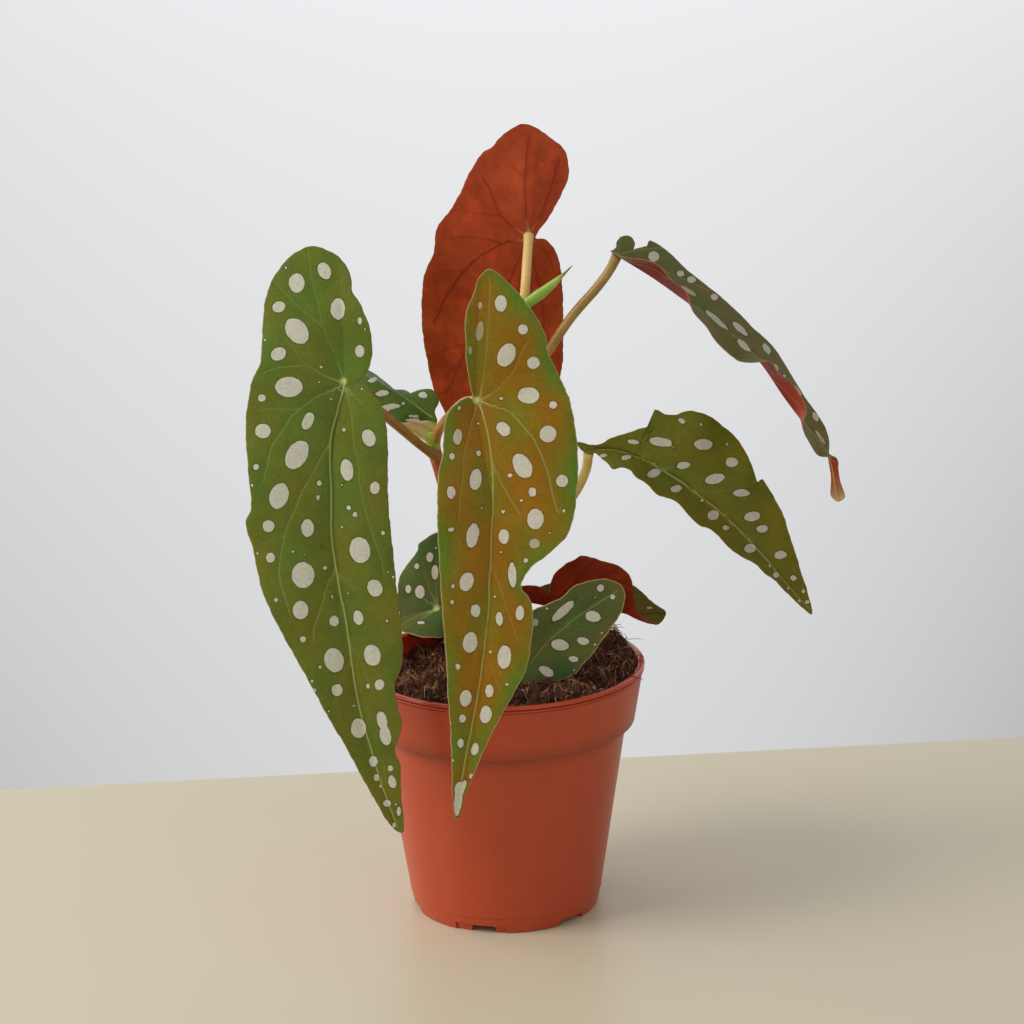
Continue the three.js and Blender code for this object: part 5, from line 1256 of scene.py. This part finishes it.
def potPlastic():
    # Terracotta-coloured polypropylene, injection moulded and thin. The eye gets an even orange-brown, a
    # satin shine that breaks into a fine matt grain, faint flow marks up the wall, and scuffs on the edges.
    material, tree = newMaterial("mouldedTerracottaPolypropylene")
    place = add(tree, "ShaderNodeTexCoord").outputs["Object"]
    broad = noise(tree, place, 60, detail=2)
    grain = noise(tree, place, 0.9, detail=2)
    streakPlace = add(tree, "ShaderNodeMapping",
                      {"Vector": place, "Scale": (1.0, 1.0, 0.12)}).outputs["Vector"]
    streaks = noise(tree, streakPlace, 14, detail=3)
    colour = mixed(tree, broad, linear(pot["colour"]), linear(pot["colourAlso"]))
    colour = mixed(tree, ramp(tree, streaks, [[0.45, 0.0], [0.8, 0.25]]), colour, linear(pot["colourDeep"]))
    colour = mixed(tree, 1.0, colour, ramp(tree, grain, [[0.3, 0.93], [0.7, 1.0]]), "MULTIPLY")
    dust = noise(tree, place, 2.5, detail=6, roughness=0.7)
    colour = mixed(tree, sums(tree, "MULTIPLY", ramp(tree, dust, [[0.66, 0.0], [0.76, 1.0]]), 0.12), colour,
                   linear("#D9A48C"))
    up = add(tree, "ShaderNodeSeparateXYZ", {"Vector": place}).outputs["Z"]
    # painted shade: a dark line along the collar's lower edge and a soft shade on the wall below it
    under = sums(tree, "SUBTRACT", pot["stepHeight"] + 0.45, sums(tree, "MULTIPLY", up, 1000.0))
    fromStep = sums(tree, "ABSOLUTE", sums(tree, "SUBTRACT", under, 0.3))
    paintedCreaseShade = sums(tree, "MULTIPLY", within(tree, fromStep, 0.25, 0.7), 0.6)
    shade = sums(tree, "MULTIPLY", within(tree, fromStep, 0.3, 8.0), 0.3)
    colour = mixed(tree, sums(tree, "MAXIMUM", paintedCreaseShade, shade), colour, linear(pot["paintedCreaseShade"]))
    gloss = ramp(tree, grain, [[0.3, pot["roughness"] - 0.04], [0.7, pot["roughness"] + 0.05]])
    lip = within(tree, sums(tree, "SUBTRACT", pot["rimTop"], sums(tree, "MULTIPLY", up, 1000.0)), 1.0, 1.6)
    gloss = mixed(tree, lip, gloss, (0.17, 0.17, 0.17, 1))
    bump = add(tree, "ShaderNodeBump", {"Height": grain, "Strength": 0.25, "Distance": 0.0001})
    skin = add(tree, "ShaderNodeBsdfPrincipled",
               {"Base Color": colour, "Roughness": gloss, "Normal": bump.outputs["Normal"], "IOR": 1.49})
    add(tree, "ShaderNodeOutputMaterial", {"Surface": skin.outputs[0]})
    return material


def arc(centre, radius, start, end, count):
    turn = np.radians(np.linspace(start, end, count))
    return np.stack([centre[0] + radius * np.cos(turn), centre[1] + radius * np.sin(turn)], -1)


def makePot(skin):
    # a profile turned round the axis; inside a notch the foot's points are lifted to the notch's height,
    # and at a tab they are moved in instead
    foot, step, rim, top = pot["footRadius"], pot["stepRadius"], pot["rimRadius"], pot["rimTop"]
    footTop, stepUp, ledge, wall = (pot[k] for k in ("footHeight", "stepHeight", "ledge", "wall"))
    notchUp = pot["notchHeight"]
    notchInner = foot - 8
    edge = step + ledge
    under = [[step + 0.1, stepUp - 0.35], [step + 0.45, stepUp - 0.05], [step + 1.0, stepUp],
             [edge - 0.35, stepUp], [edge - 0.1, stepUp + 0.1], [edge, stepUp + 0.4]]
    collar = np.linspace([edge + 0.15, stepUp + 1.4], [rim - 0.95, top - 3.6], 8)
    lip = np.vstack([
        [[rim - 0.9, top - 3.15], [rim - 1.15, top - 2.95], [rim - 1.15, top - 2.7]],
        arc([rim - 0.75, top - 2.2], 0.5, -80, 75, 7),
        [[rim - 1.2, top - 1.65], [rim - 1.25, top - 1.4], [rim - 0.9, top - 1.25]],
        arc([rim - 0.75, top - 0.6], 0.75, -55, 80, 10),
        [[rim - 1.4, top + 0.15], [rim - 2.1, top + 0.1], [rim - 2.7, top - 0.1], [rim - 3.0, top - 0.5]],
    ])
    profile = np.vstack([
        [[0, 0.0], [notchInner, 0.0], [notchInner, 0.001]],
        [[foot - 0.5, 0.0], [foot, 0.4], [foot + 0.7, notchUp - 0.1], [foot + 0.72, notchUp]],
        [[foot + 1.35, footTop - 0.6], [foot + 1.7, footTop - 0.3], [foot + 1.75, footTop + 0.2]],
        np.linspace([foot + 1.9, footTop + 2], [step - 0.1, stepUp - 1.2], 18),
        under, collar, lip,
        [[rim - 2.6, top - 4], [edge - wall - 0.4, stepUp + 1.5], [step - wall + 0.4, stepUp + 1.2]],
        np.linspace([step - wall, stepUp + 0.6], [foot + 0.4, 6.5], 8),
        [[foot - 1.5, 5.0], [28, 5.0], [26, 1.6], [0, 1.6]],
    ])
    angles = np.linspace(0, 360, pot["segments"], endpoint=False)
    notches = [[-106.5 + 120 * i, 32, notchUp] for i in range(3)]
    notches += [[-46 + 120 * i, 19, pot["narrowNotch"]] for i in range(3)]
    openings = [[-104.4 + 120 * i, 13.6] for i in range(3)]
    edges = [middle + side * (spread / 2) + nudge for middle, spread, _ in notches for side in (-1, 1)
             for nudge in (-0.05, 0.05)]
    edges += [middle + side * (spread / 2 + nudge) for middle, spread in openings for side in (-1, 1)
              for nudge in (0.0, 1.3)]
    angles = np.unique(np.concatenate([angles, np.mod(edges, 360)]))
    lift = np.zeros(len(angles))
    for middle, spread, height in notches:
        lift[turnGap(angles, middle) <= spread / 2 + 0.001] = height
    atTab = np.zeros(len(angles), bool)
    for (middle, spread, _), (centre, width) in zip(notches, openings):
        atTab |= (turnGap(angles, middle) <= spread / 2 + 0.001) & (turnGap(angles, centre) > width / 2 + 1)
    radius = np.broadcast_to(profile[:, :1], (len(profile), len(angles))).copy()
    height = np.broadcast_to(profile[:, 1:], (len(profile), len(angles))).copy()
    rows = slice(2, 7)
    height[rows] = np.where((lift > 0) & ~atTab, lift, height[rows])
    radius[3:6] = np.where((lift > 0) & ~atTab, foot + 0.15, radius[3:6])
    height[6] = np.maximum(height[6], notchUp)
    radius[3:6] = np.where(atTab, radius[3:6] - pot["tabInset"], radius[3:6])
    turn = np.radians(angles)[None]
    points = np.stack([radius * np.cos(turn), radius * np.sin(turn), height], -1).reshape(-1, 3)
    faces = gridFaces(len(profile), len(angles))
    piece = makePiece("moulded_pot", points, faces, [skin], node=["nursery_pot"])
    weld = piece.modifiers.new("weld", "WELD")
    weld.merge_threshold = 0.000002
    drill = drainPins([middle for middle, _, _ in notches])
    cut = piece.modifiers.new("drains", "BOOLEAN")
    cut.object = drill
    cut.solver = "EXACT"
    applyModifiers(piece)
    bpy.data.objects.remove(drill, do_unlink=True)
    setSharp(piece, 32)
    return piece


def turnGap(angles, middle):
    # how far each angle is from the middle, in degrees, the short way round
    return np.abs((angles - middle + 180) % 360 - 180)


def drainPins(middles):
    # one upright pin through the floor for each drain hole
    sides = 20
    low, high = -5.0, 12.0
    perPin = 2 * sides + 2
    rows = []
    faces = []
    turn = np.linspace(0, 2 * np.pi, sides, endpoint=False)
    around = np.arange(sides)
    after = (around + 1) % sides
    for middle in middles:
        angle = math.radians(middle)
        centre = np.array([math.cos(angle), math.sin(angle)]) * pot["drainRing"]
        start = len(rows) * perPin
        ring = centre + pot["drainRadius"] * np.stack([np.cos(turn), np.sin(turn)], -1)
        bottom = np.hstack([ring, np.full((sides, 1), low)])
        roof = np.hstack([ring, np.full((sides, 1), high)])
        rows.append(np.vstack([bottom, roof, [[*centre, low], [*centre, high]]]))
        faces += gridFaces(2, sides, start)
        faces += (np.stack([0 * around + 2 * sides, after, around], -1) + start).tolist()
        faces += (np.stack([0 * around + 2 * sides + 1, sides + around, sides + after], -1) + start).tolist()
    mesh = bpy.data.meshes.new("drainPins")
    mesh.from_pydata(np.vstack(rows) * mm, [], faces)
    pins = bpy.data.objects.new("drainPins", mesh)
    bpy.context.collection.objects.link(pins)
    return pins


def applyModifiers(piece):
    # the finished mesh in place of the modifiers
    graph = bpy.context.evaluated_depsgraph_get()
    done = bpy.data.meshes.new_from_object(piece.evaluated_get(graph))
    piece.modifiers.clear()
    piece.data = done


def setSharp(piece, degrees):
    # shading is smooth except across edges that turn by more than this
    piece.data.set_sharp_from_angle(angle=math.radians(degrees))


# Soil
soilMake = {
    "level": 103.3,
    "heaps": [[38, 27, 10.5, 17], [-36, 24, -9, 21], [50, 2, 4, 16], [20, -44, 2.5, 14], [-8, 48, 2, 16],
              [12, -38, 2.5, 9]],
    "radius": 57.8,
    "bumps": 1.1,               # share of the lumps' height
    "dark": "#1A0D07", "mid": "#4A2A1A", "light": "#946244",
    "fibres": 4600,             # in each of two pieces
    "crumbs": 900,
    "strayThreads": 70,         # longer threads over the rim and the mound
}


def soilHeight(x, y):
    # the level plus a bell curve for each heap or hollow [x, y, height, spread]
    height = np.full(np.shape(x), float(soilMake["level"]))
    for atX, atY, rise, spread in soilMake["heaps"]:
        height = height + rise * np.exp(-((x - atX) ** 2 + (y - atY) ** 2) / spread**2)
    return height


def lumps(x, y, seed, count=60):
    # a sum of seeded plane waves, each shorter wave lower, for crumbly ground
    random = np.random.default_rng(seed)
    total = np.zeros(np.shape(x))
    for _ in range(count):
        size = random.uniform(2.2, 14)
        heading = random.uniform(0, 2 * np.pi)
        ahead = x * np.cos(heading) + y * np.sin(heading)
        wave = np.sin(ahead * 2 * np.pi / size + random.uniform(0, 6.28))
        total += wave * size * 0.035
    return total


def soilFinish(name, fibre=False):
    # Coir potting mix, shredded and pressed. The eye gets near-black crumbs with brown and straw fibres.
    material, tree = newMaterial(name)
    place = add(tree, "ShaderNodeTexCoord").outputs["Object"]
    coarse = noise(tree, place, 5, detail=8, roughness=0.7)
    if fibre:
        tone = attribute(tree, "fibreTone")
        colour = ramp(tree, tone, [[0.0, "#2A140C"], [0.3, "#6E3E26"], [0.6, "#B07850"], [0.85, "#DCAE84"],
                                   [1.0, "#F4D8B2"]])
    else:
        colour = ramp(tree, coarse,
                      [[0.3, soilMake["dark"]], [0.55, soilMake["mid"]], [0.8, soilMake["light"]]])
    fine = noise(tree, place, 0.8, detail=6, roughness=0.75)
    bump = add(tree, "ShaderNodeBump", {"Height": fine, "Strength": 0.8, "Distance": 0.0006})
    skin = add(tree, "ShaderNodeBsdfPrincipled",
               {"Base Color": colour, "Roughness": 0.85, "Normal": bump.outputs["Normal"]})
    add(tree, "ShaderNodeOutputMaterial", {"Surface": skin.outputs[0]})
    return material


def makeSoil(skin):
    # a disc of rings whose height is the heaps plus crumbly lumps, with a plain underside inside the pot
    rings, spokes = 150, 420
    radius = np.linspace(0.4, soilMake["radius"], rings)[:, None]
    turn = np.linspace(0, 2 * np.pi, spokes, endpoint=False)[None]
    x, y = radius * np.cos(turn), radius * np.sin(turn)
    rough = lumps(x, y, 3)
    z = soilHeight(x, y) + rough * soilMake["bumps"] - 0.6
    z[-1] = z[-2] - 2
    top = np.stack([x, y, z], -1)
    wall = [[57.0, 98], [55.0, 86], [51, 82], [40, 6.2], [0.4, 5.8]]
    lower = np.array([[[r * math.cos(a), r * math.sin(a), h] for a in turn[0]] for r, h in wall])
    points = np.vstack([top.reshape(-1, 3), lower.reshape(-1, 3)])
    rows = rings + len(wall)
    faces = gridFaces(rows, spokes)
    first, last = len(points), len(points) + 1
    points = np.vstack([points, [[0, 0, z[0].mean()]], [[0, 0, 5.8]]])
    after = (np.arange(spokes) + 1) % spokes
    faces += np.stack([np.full(spokes, first), after, np.arange(spokes)], -1)[:, [0, 2, 1]].tolist()
    base = (rows - 1) * spokes
    faces += np.stack([np.full(spokes, last), base + after, base + np.arange(spokes)], -1).tolist()
    faces = [face[::-1] if len(face) == 4 else face for face in faces]
    makePiece("potting_mix", points, faces, [skin], node=["potting_soil"])


def fibreStrands(paths, radii, sides=3):
    # many thin tubes at once: each path's points carry a small ring, all in one pair of arrays
    count, steps = paths.shape[:2]
    ahead = np.gradient(paths, axis=1)
    ahead /= np.linalg.norm(ahead, axis=2)[..., None] + 1e-9
    side = np.cross(ahead, np.array([0.31, 0.2, 0.93]))
    side /= np.linalg.norm(side, axis=2)[..., None] + 1e-9
    other = np.cross(ahead, side)
    turn = np.linspace(0, 2 * np.pi, sides, endpoint=False)
    taper = np.sqrt(np.clip(1 - np.abs(np.linspace(-1, 1, steps)) ** 3, 0.05, 1))[None, :, None, None]
    ring = side[:, :, None] * np.cos(turn)[None, None, :, None]
    ring = ring + other[:, :, None] * np.sin(turn)[None, None, :, None]
    points = paths[:, :, None] + ring * radii[:, None, None, None] * taper
    faces = []
    block = np.array(gridFaces(steps, sides))
    starts = (np.arange(count) * steps * sides)[:, None, None]
    faces = (block[None] + starts).reshape(-1, 4).tolist()
    ends = np.array([list(range(sides))[::-1], list(range((steps - 1) * sides, steps * sides))])
    faces += (ends[None] + starts).reshape(-1, sides).tolist()
    return points.reshape(-1, 3), faces


def makeFibres(name, skin, seed):
    # curled coir fibres lying over the soil: each is a short arc with a random heading, lift and curl
    random = np.random.default_rng(seed)
    count, steps, sides = soilMake["fibres"], 5, 3
    limit = soilMake["radius"] - 0.4
    away = limit * np.sqrt(random.uniform(0, 1, count))
    turn = random.uniform(0, 2 * np.pi, count)
    length = random.gamma(3.0, 1.9, count).clip(1.8, 12)
    heading = random.uniform(0, 2 * np.pi, count)
    curl = random.normal(0, 3.0, count)
    share = np.linspace(-0.5, 0.5, steps)
    angle = heading[:, None] + curl[:, None] * share[None]
    x = (away * np.cos(turn))[:, None] + np.cumsum(np.cos(angle) * length[:, None] / steps, axis=1)
    y = (away * np.sin(turn))[:, None] + np.cumsum(np.sin(angle) * length[:, None] / steps, axis=1)
    shrink = np.minimum(1, limit / np.maximum(np.hypot(x, y), 1e-6))
    x, y = x * shrink, y * shrink
    tilt = random.normal(0, 0.3, count)
    lift = random.uniform(-0.3, 1.5, count) ** 2 * 0.8
    arch = (0.25 - share[None] ** 2) * random.uniform(0, 5, count)[:, None]
    ground = soilHeight(x, y) + lumps(x, y, 3) * soilMake["bumps"] - 0.5
    z = ground + lift[:, None] + arch + tilt[:, None] * share[None] * length[:, None]
    radii = random.uniform(0.07, 0.19, count)
    points, faces = fibreStrands(np.stack([x, y, z], -1), radii, sides)
    patch = 0.5 + 0.5 * np.sin(x[:, 0] * 0.21 + 1.3) * np.sin(y[:, 0] * 0.19 + 0.4)
    tone = np.clip(random.beta(1.0, 1.9, count) * (0.6 + 0.9 * patch), 0, 1)
    makePiece(name, points, faces, [skin], fields={"fibreTone": np.repeat(tone, steps * sides)})


def makeThreads(skin):
    # longer root threads: each starts on the mound or at the right of the rim and wanders upwards and out
    random = np.random.default_rng(41)
    count, steps, sides = soilMake["strayThreads"], 9, 4
    turn = np.radians(random.uniform(-25, 75, count))
    away = random.uniform(40, 58, count)
    heading = turn + random.normal(0, 1.1, count)
    length = random.uniform(5, 13, count)
    bends = np.cumsum(random.normal(0, 0.33, (count, steps)), axis=1)
    angle = heading[:, None] + bends
    x = (away * np.cos(turn))[:, None] + np.cumsum(np.cos(angle) * length[:, None] / steps, axis=1)
    y = (away * np.sin(turn))[:, None] + np.cumsum(np.sin(angle) * length[:, None] / steps, axis=1)
    share = np.linspace(0, 1, steps)[None]
    rise = random.uniform(-1.5, 3.4, count)[:, None] * share - random.uniform(0, 4, count)[:, None] * share**3
    z = soilHeight(x[:, :1], y[:, :1]) + 1.2 + rise
    outside = np.hypot(x, y) > pot["rimRadius"] - 3.5
    z = np.where(outside, np.maximum(z, pot["rimTop"] + 0.3), z)
    points, faces = fibreStrands(np.stack([x, y, z], -1), random.uniform(0.1, 0.22, count), sides)
    tone = random.choice([0.05, 0.12, 0.3, 0.7], count)
    makePiece("root_threads", points, faces, [skin],
              fields={"fibreTone": np.repeat(tone, steps * sides)})


def makeCrumbs(skin):
    # crumbs of mix: low balls with each point pushed in or out, in one pair of arrays
    random = np.random.default_rng(23)
    count = soilMake["crumbs"]
    rows, sides = 4, 6
    poleGap = 0.35
    tilt = np.linspace(poleGap, np.pi - poleGap, rows)
    turn = np.linspace(0, 2 * np.pi, sides, endpoint=False)
    ball = np.stack([np.sin(tilt)[:, None] * np.cos(turn), np.sin(tilt)[:, None] * np.sin(turn),
                     np.cos(tilt)[:, None] + 0 * turn], -1).reshape(-1, 3)
    ball = np.vstack([ball, [0, 0, 1], [0, 0, -1]])
    away = (soilMake["radius"] - 1) * np.sqrt(random.uniform(0, 1, count))
    heading = random.uniform(0, 2 * np.pi, count)
    x, y = away * np.cos(heading), away * np.sin(heading)
    size = random.gamma(2.2, 0.26, count).clip(0.25, 1.6)
    z = soilHeight(x, y) + lumps(x, y, 3) * soilMake["bumps"] - 0.6 + size * 0.35
    rough = random.uniform(0.7, 1.3, (count, len(ball), 1))
    stretch = random.uniform(0.7, 1.3, (count, 1, 3))
    points = np.stack([x, y, z], -1)[:, None] + ball[None] * rough * stretch * size[:, None, None]
    block = np.array(gridFaces(rows, sides))[:, ::-1]
    topPoint, lowPoint = rows * sides, rows * sides + 1
    around = np.arange(sides)
    after = (around + 1) % sides
    caps = np.vstack([np.stack([0 * around + topPoint, around, after], -1),
                      np.stack([0 * around + lowPoint, (rows - 1) * sides + after,
                                (rows - 1) * sides + around], -1)])
    starts = (np.arange(count) * len(ball))[:, None, None]
    faces = (block[None] + starts).reshape(-1, 4).tolist() + (caps[None] + starts).reshape(-1, 3).tolist()
    tone = np.repeat(random.beta(1.3, 4.5, count), len(ball))
    makePiece("mix_crumbs", points.reshape(-1, 3), faces, [skin], fields={"fibreTone": tone})


# Stage: a pale table whose back edge runs a little aslant, a wall far behind it that glows with painted
# light, and soft lights
stage = {
    "edgeAt": 167.6, "edgeSlope": 0.0968,   # the table's back edge: y = edgeAt + edgeSlope x, in mm
    "halfWidth": 2600, "front": -2600, "thick": 30,
    "table": "#DDD9C4", "tableDark": "#D9D4BE",
    "world": "#F2EBDF", "worldStrength": 0.46,
    "wallAt": 2600, "wallHalfWidth": 3000, "wallLow": -2400, "wallHigh": 1800,
    "wallTop": 0.87,                        # how bright the wall is at the top
    "fallFrom": 120, "fallOver": 1000,      # mm: it falls off from this height down, over this length
    "sideOver": 650,                        # mm out from the middle over which its sides fall off
}


def makeTable():
    # Satin-lacquered table top. The eye gets a plain warm beige with a faint soft reflection.
    material, tree = newMaterial("lacqueredTableTop")
    place = add(tree, "ShaderNodeTexCoord").outputs["Object"]
    cloudy = noise(tree, place, 300, detail=2)
    colour = mixed(tree, cloudy, linear(stage["table"]), linear(stage["tableDark"]))
    skin = add(tree, "ShaderNodeBsdfPrincipled", {"Base Color": colour, "Roughness": 0.38})
    add(tree, "ShaderNodeOutputMaterial", {"Surface": skin.outputs[0]})
    wide = stage["halfWidth"]
    corners = np.array([[x, y, z] for z in (-stage["thick"], 0) for x, y in
                        ((-wide, stage["front"]), (wide, stage["front"]),
                         (wide, stage["edgeAt"] + stage["edgeSlope"] * wide),
                         (-wide, stage["edgeAt"] - stage["edgeSlope"] * wide))], float)
    faces = [[4, 5, 6, 7], [0, 3, 2, 1], [0, 1, 5, 4], [1, 2, 6, 5], [2, 3, 7, 6], [3, 0, 4, 7]]
    placeOnStage("tableTop", corners, faces, material)


def makeWall():
    # Wall that glows by itself. The eye gets near-white painted light that falls off downwards and to the
    # right.
    material, tree = newMaterial("glowingWall")
    shade = attribute(tree, "shade", "Color")
    glow = add(tree, "ShaderNodeEmission", {"Color": shade, "Strength": 1.0})
    add(tree, "ShaderNodeOutputMaterial", {"Surface": glow.outputs[0]})
    across, up = np.meshgrid(np.linspace(-stage["wallHalfWidth"], stage["wallHalfWidth"], 61),
                             np.linspace(stage["wallLow"], stage["wallHigh"], 61))
    down = np.clip((stage["fallFrom"] - up) / stage["fallOver"], 0, 1.2)
    out = stage["sideOver"]
    light = stage["wallTop"] - 0.17 * down ** 0.8
    light = light * (1 - 0.07 * np.clip(np.abs(across - 40) / out, 0, 1.6) ** 2)
    light = light * (1 - 0.2 * down * np.clip(across / out, 0, 1.4) ** 2)
    light = light * (1 - 0.1 * down ** 2 * np.clip(-across / out, 0, 1.4) ** 2)
    colours = np.stack([light * 0.985, light * 0.99, light * (1.015 - 0.02 * down)], -1).reshape(-1, 3)
    points = np.stack([across, np.full_like(across, stage["wallAt"]), up], -1).reshape(-1, 3)
    faces = gridFaces(61, 61, closedColumns=False)
    wall = placeOnStage("glowingWall", points, faces, material)
    layer = wall.data.attributes.new("shade", "FLOAT_COLOR", "POINT")
    withAlpha = np.hstack([colours, np.ones((len(colours), 1))])
    layer.data.foreach_set("color", withAlpha.astype(np.float32).ravel())


def placeOnStage(name, points, faces, material):
    mesh = bpy.data.meshes.new(name)
    mesh.from_pydata(points * mm, [], faces)
    mesh.materials.append(material)
    made = bpy.data.objects.new(name, mesh)
    bpy.context.collection.objects.link(made)
    return made


def makeWorld():
    world = bpy.data.worlds.new("paleRoom")
    world.use_nodes = True
    sky = world.node_tree
    sky.nodes.clear()
    light = add(sky, "ShaderNodeBackground",
                {"Color": linear(stage["world"]), "Strength": stage["worldStrength"]})
    add(sky, "ShaderNodeOutputWorld", {"Surface": light.outputs[0]})
    bpy.context.scene.world = world
    bpy.context.scene.view_settings.view_transform = "Standard"


softLights = {
    "key": {"place": [-1900, -640, 1640], "size": 1450, "power": 35, "colour": "#FFF7EC"},
    "side": {"place": [-1400, 800, 500], "size": 1300, "power": 7, "colour": "#FFF9F0"},
    "fill": {"place": [900, -1700, 900], "size": 1400, "power": 3.4, "colour": "#F6F7FF"},
}


def makeLights():
    for name, light in softLights.items():
        data = bpy.data.lights.new(name, "AREA")
        data.shape = "DISK"
        data.size = light["size"] * mm
        data.energy = light["power"]
        data.color = linear(light["colour"])[:3]
        lamp = bpy.data.objects.new(name, data)
        lamp.location = Vector(light["place"]) * mm
        aim = Vector((0, 0, 150)) * mm - lamp.location
        lamp.rotation_euler = aim.to_track_quat("-Z", "Y").to_euler()
        bpy.context.collection.objects.link(lamp)


# Build
makeCamera()
makeTable()
makeWall()
makeWorld()
makeLights()
print("camera, stage and lights made")

makePot(potPlastic())
print("pot made")

soilSkin = soilFinish("coirPottingMix")
fibreSkin = soilFinish("coirFibre", fibre=True)
makeSoil(soilSkin)
makeFibres("coir_fibres_fine", fibreSkin, 11)
makeFibres("coir_fibres_more", fibreSkin, 12)
makeThreads(fibreSkin)
makeCrumbs(fibreSkin)
print("soil made")

upperSkin = leafSkin("begoniaLeafUpperSkin", "upperTint", True)
underSkin = leafSkin("begoniaLeafUnderSkin", "underTint", False)
stalkSkins = {name: stalkSkin(f"begoniaPetioleSkin_{name}", *colours)
              for name, colours in stemFinish["stalks"].items()}
for number, (name, leaf) in enumerate(leaves.items()):
    makeBlade(name, leaf, upperSkin, underSkin, 100 + number)
    makePetiole(name, leaf, stalkSkins.get(name, stalkSkins["rest"]))
print("leaves made")

bark = caneSkin()
for name in canes:
    makeCane(name, bark)
makeShoot(stalkSkin("newShootSkin", "#8CBE44", "#B4D464", "#CCE484", "#7A5530"))
makeStipule(paperSkin())
print("canes, shoot and stipule made")
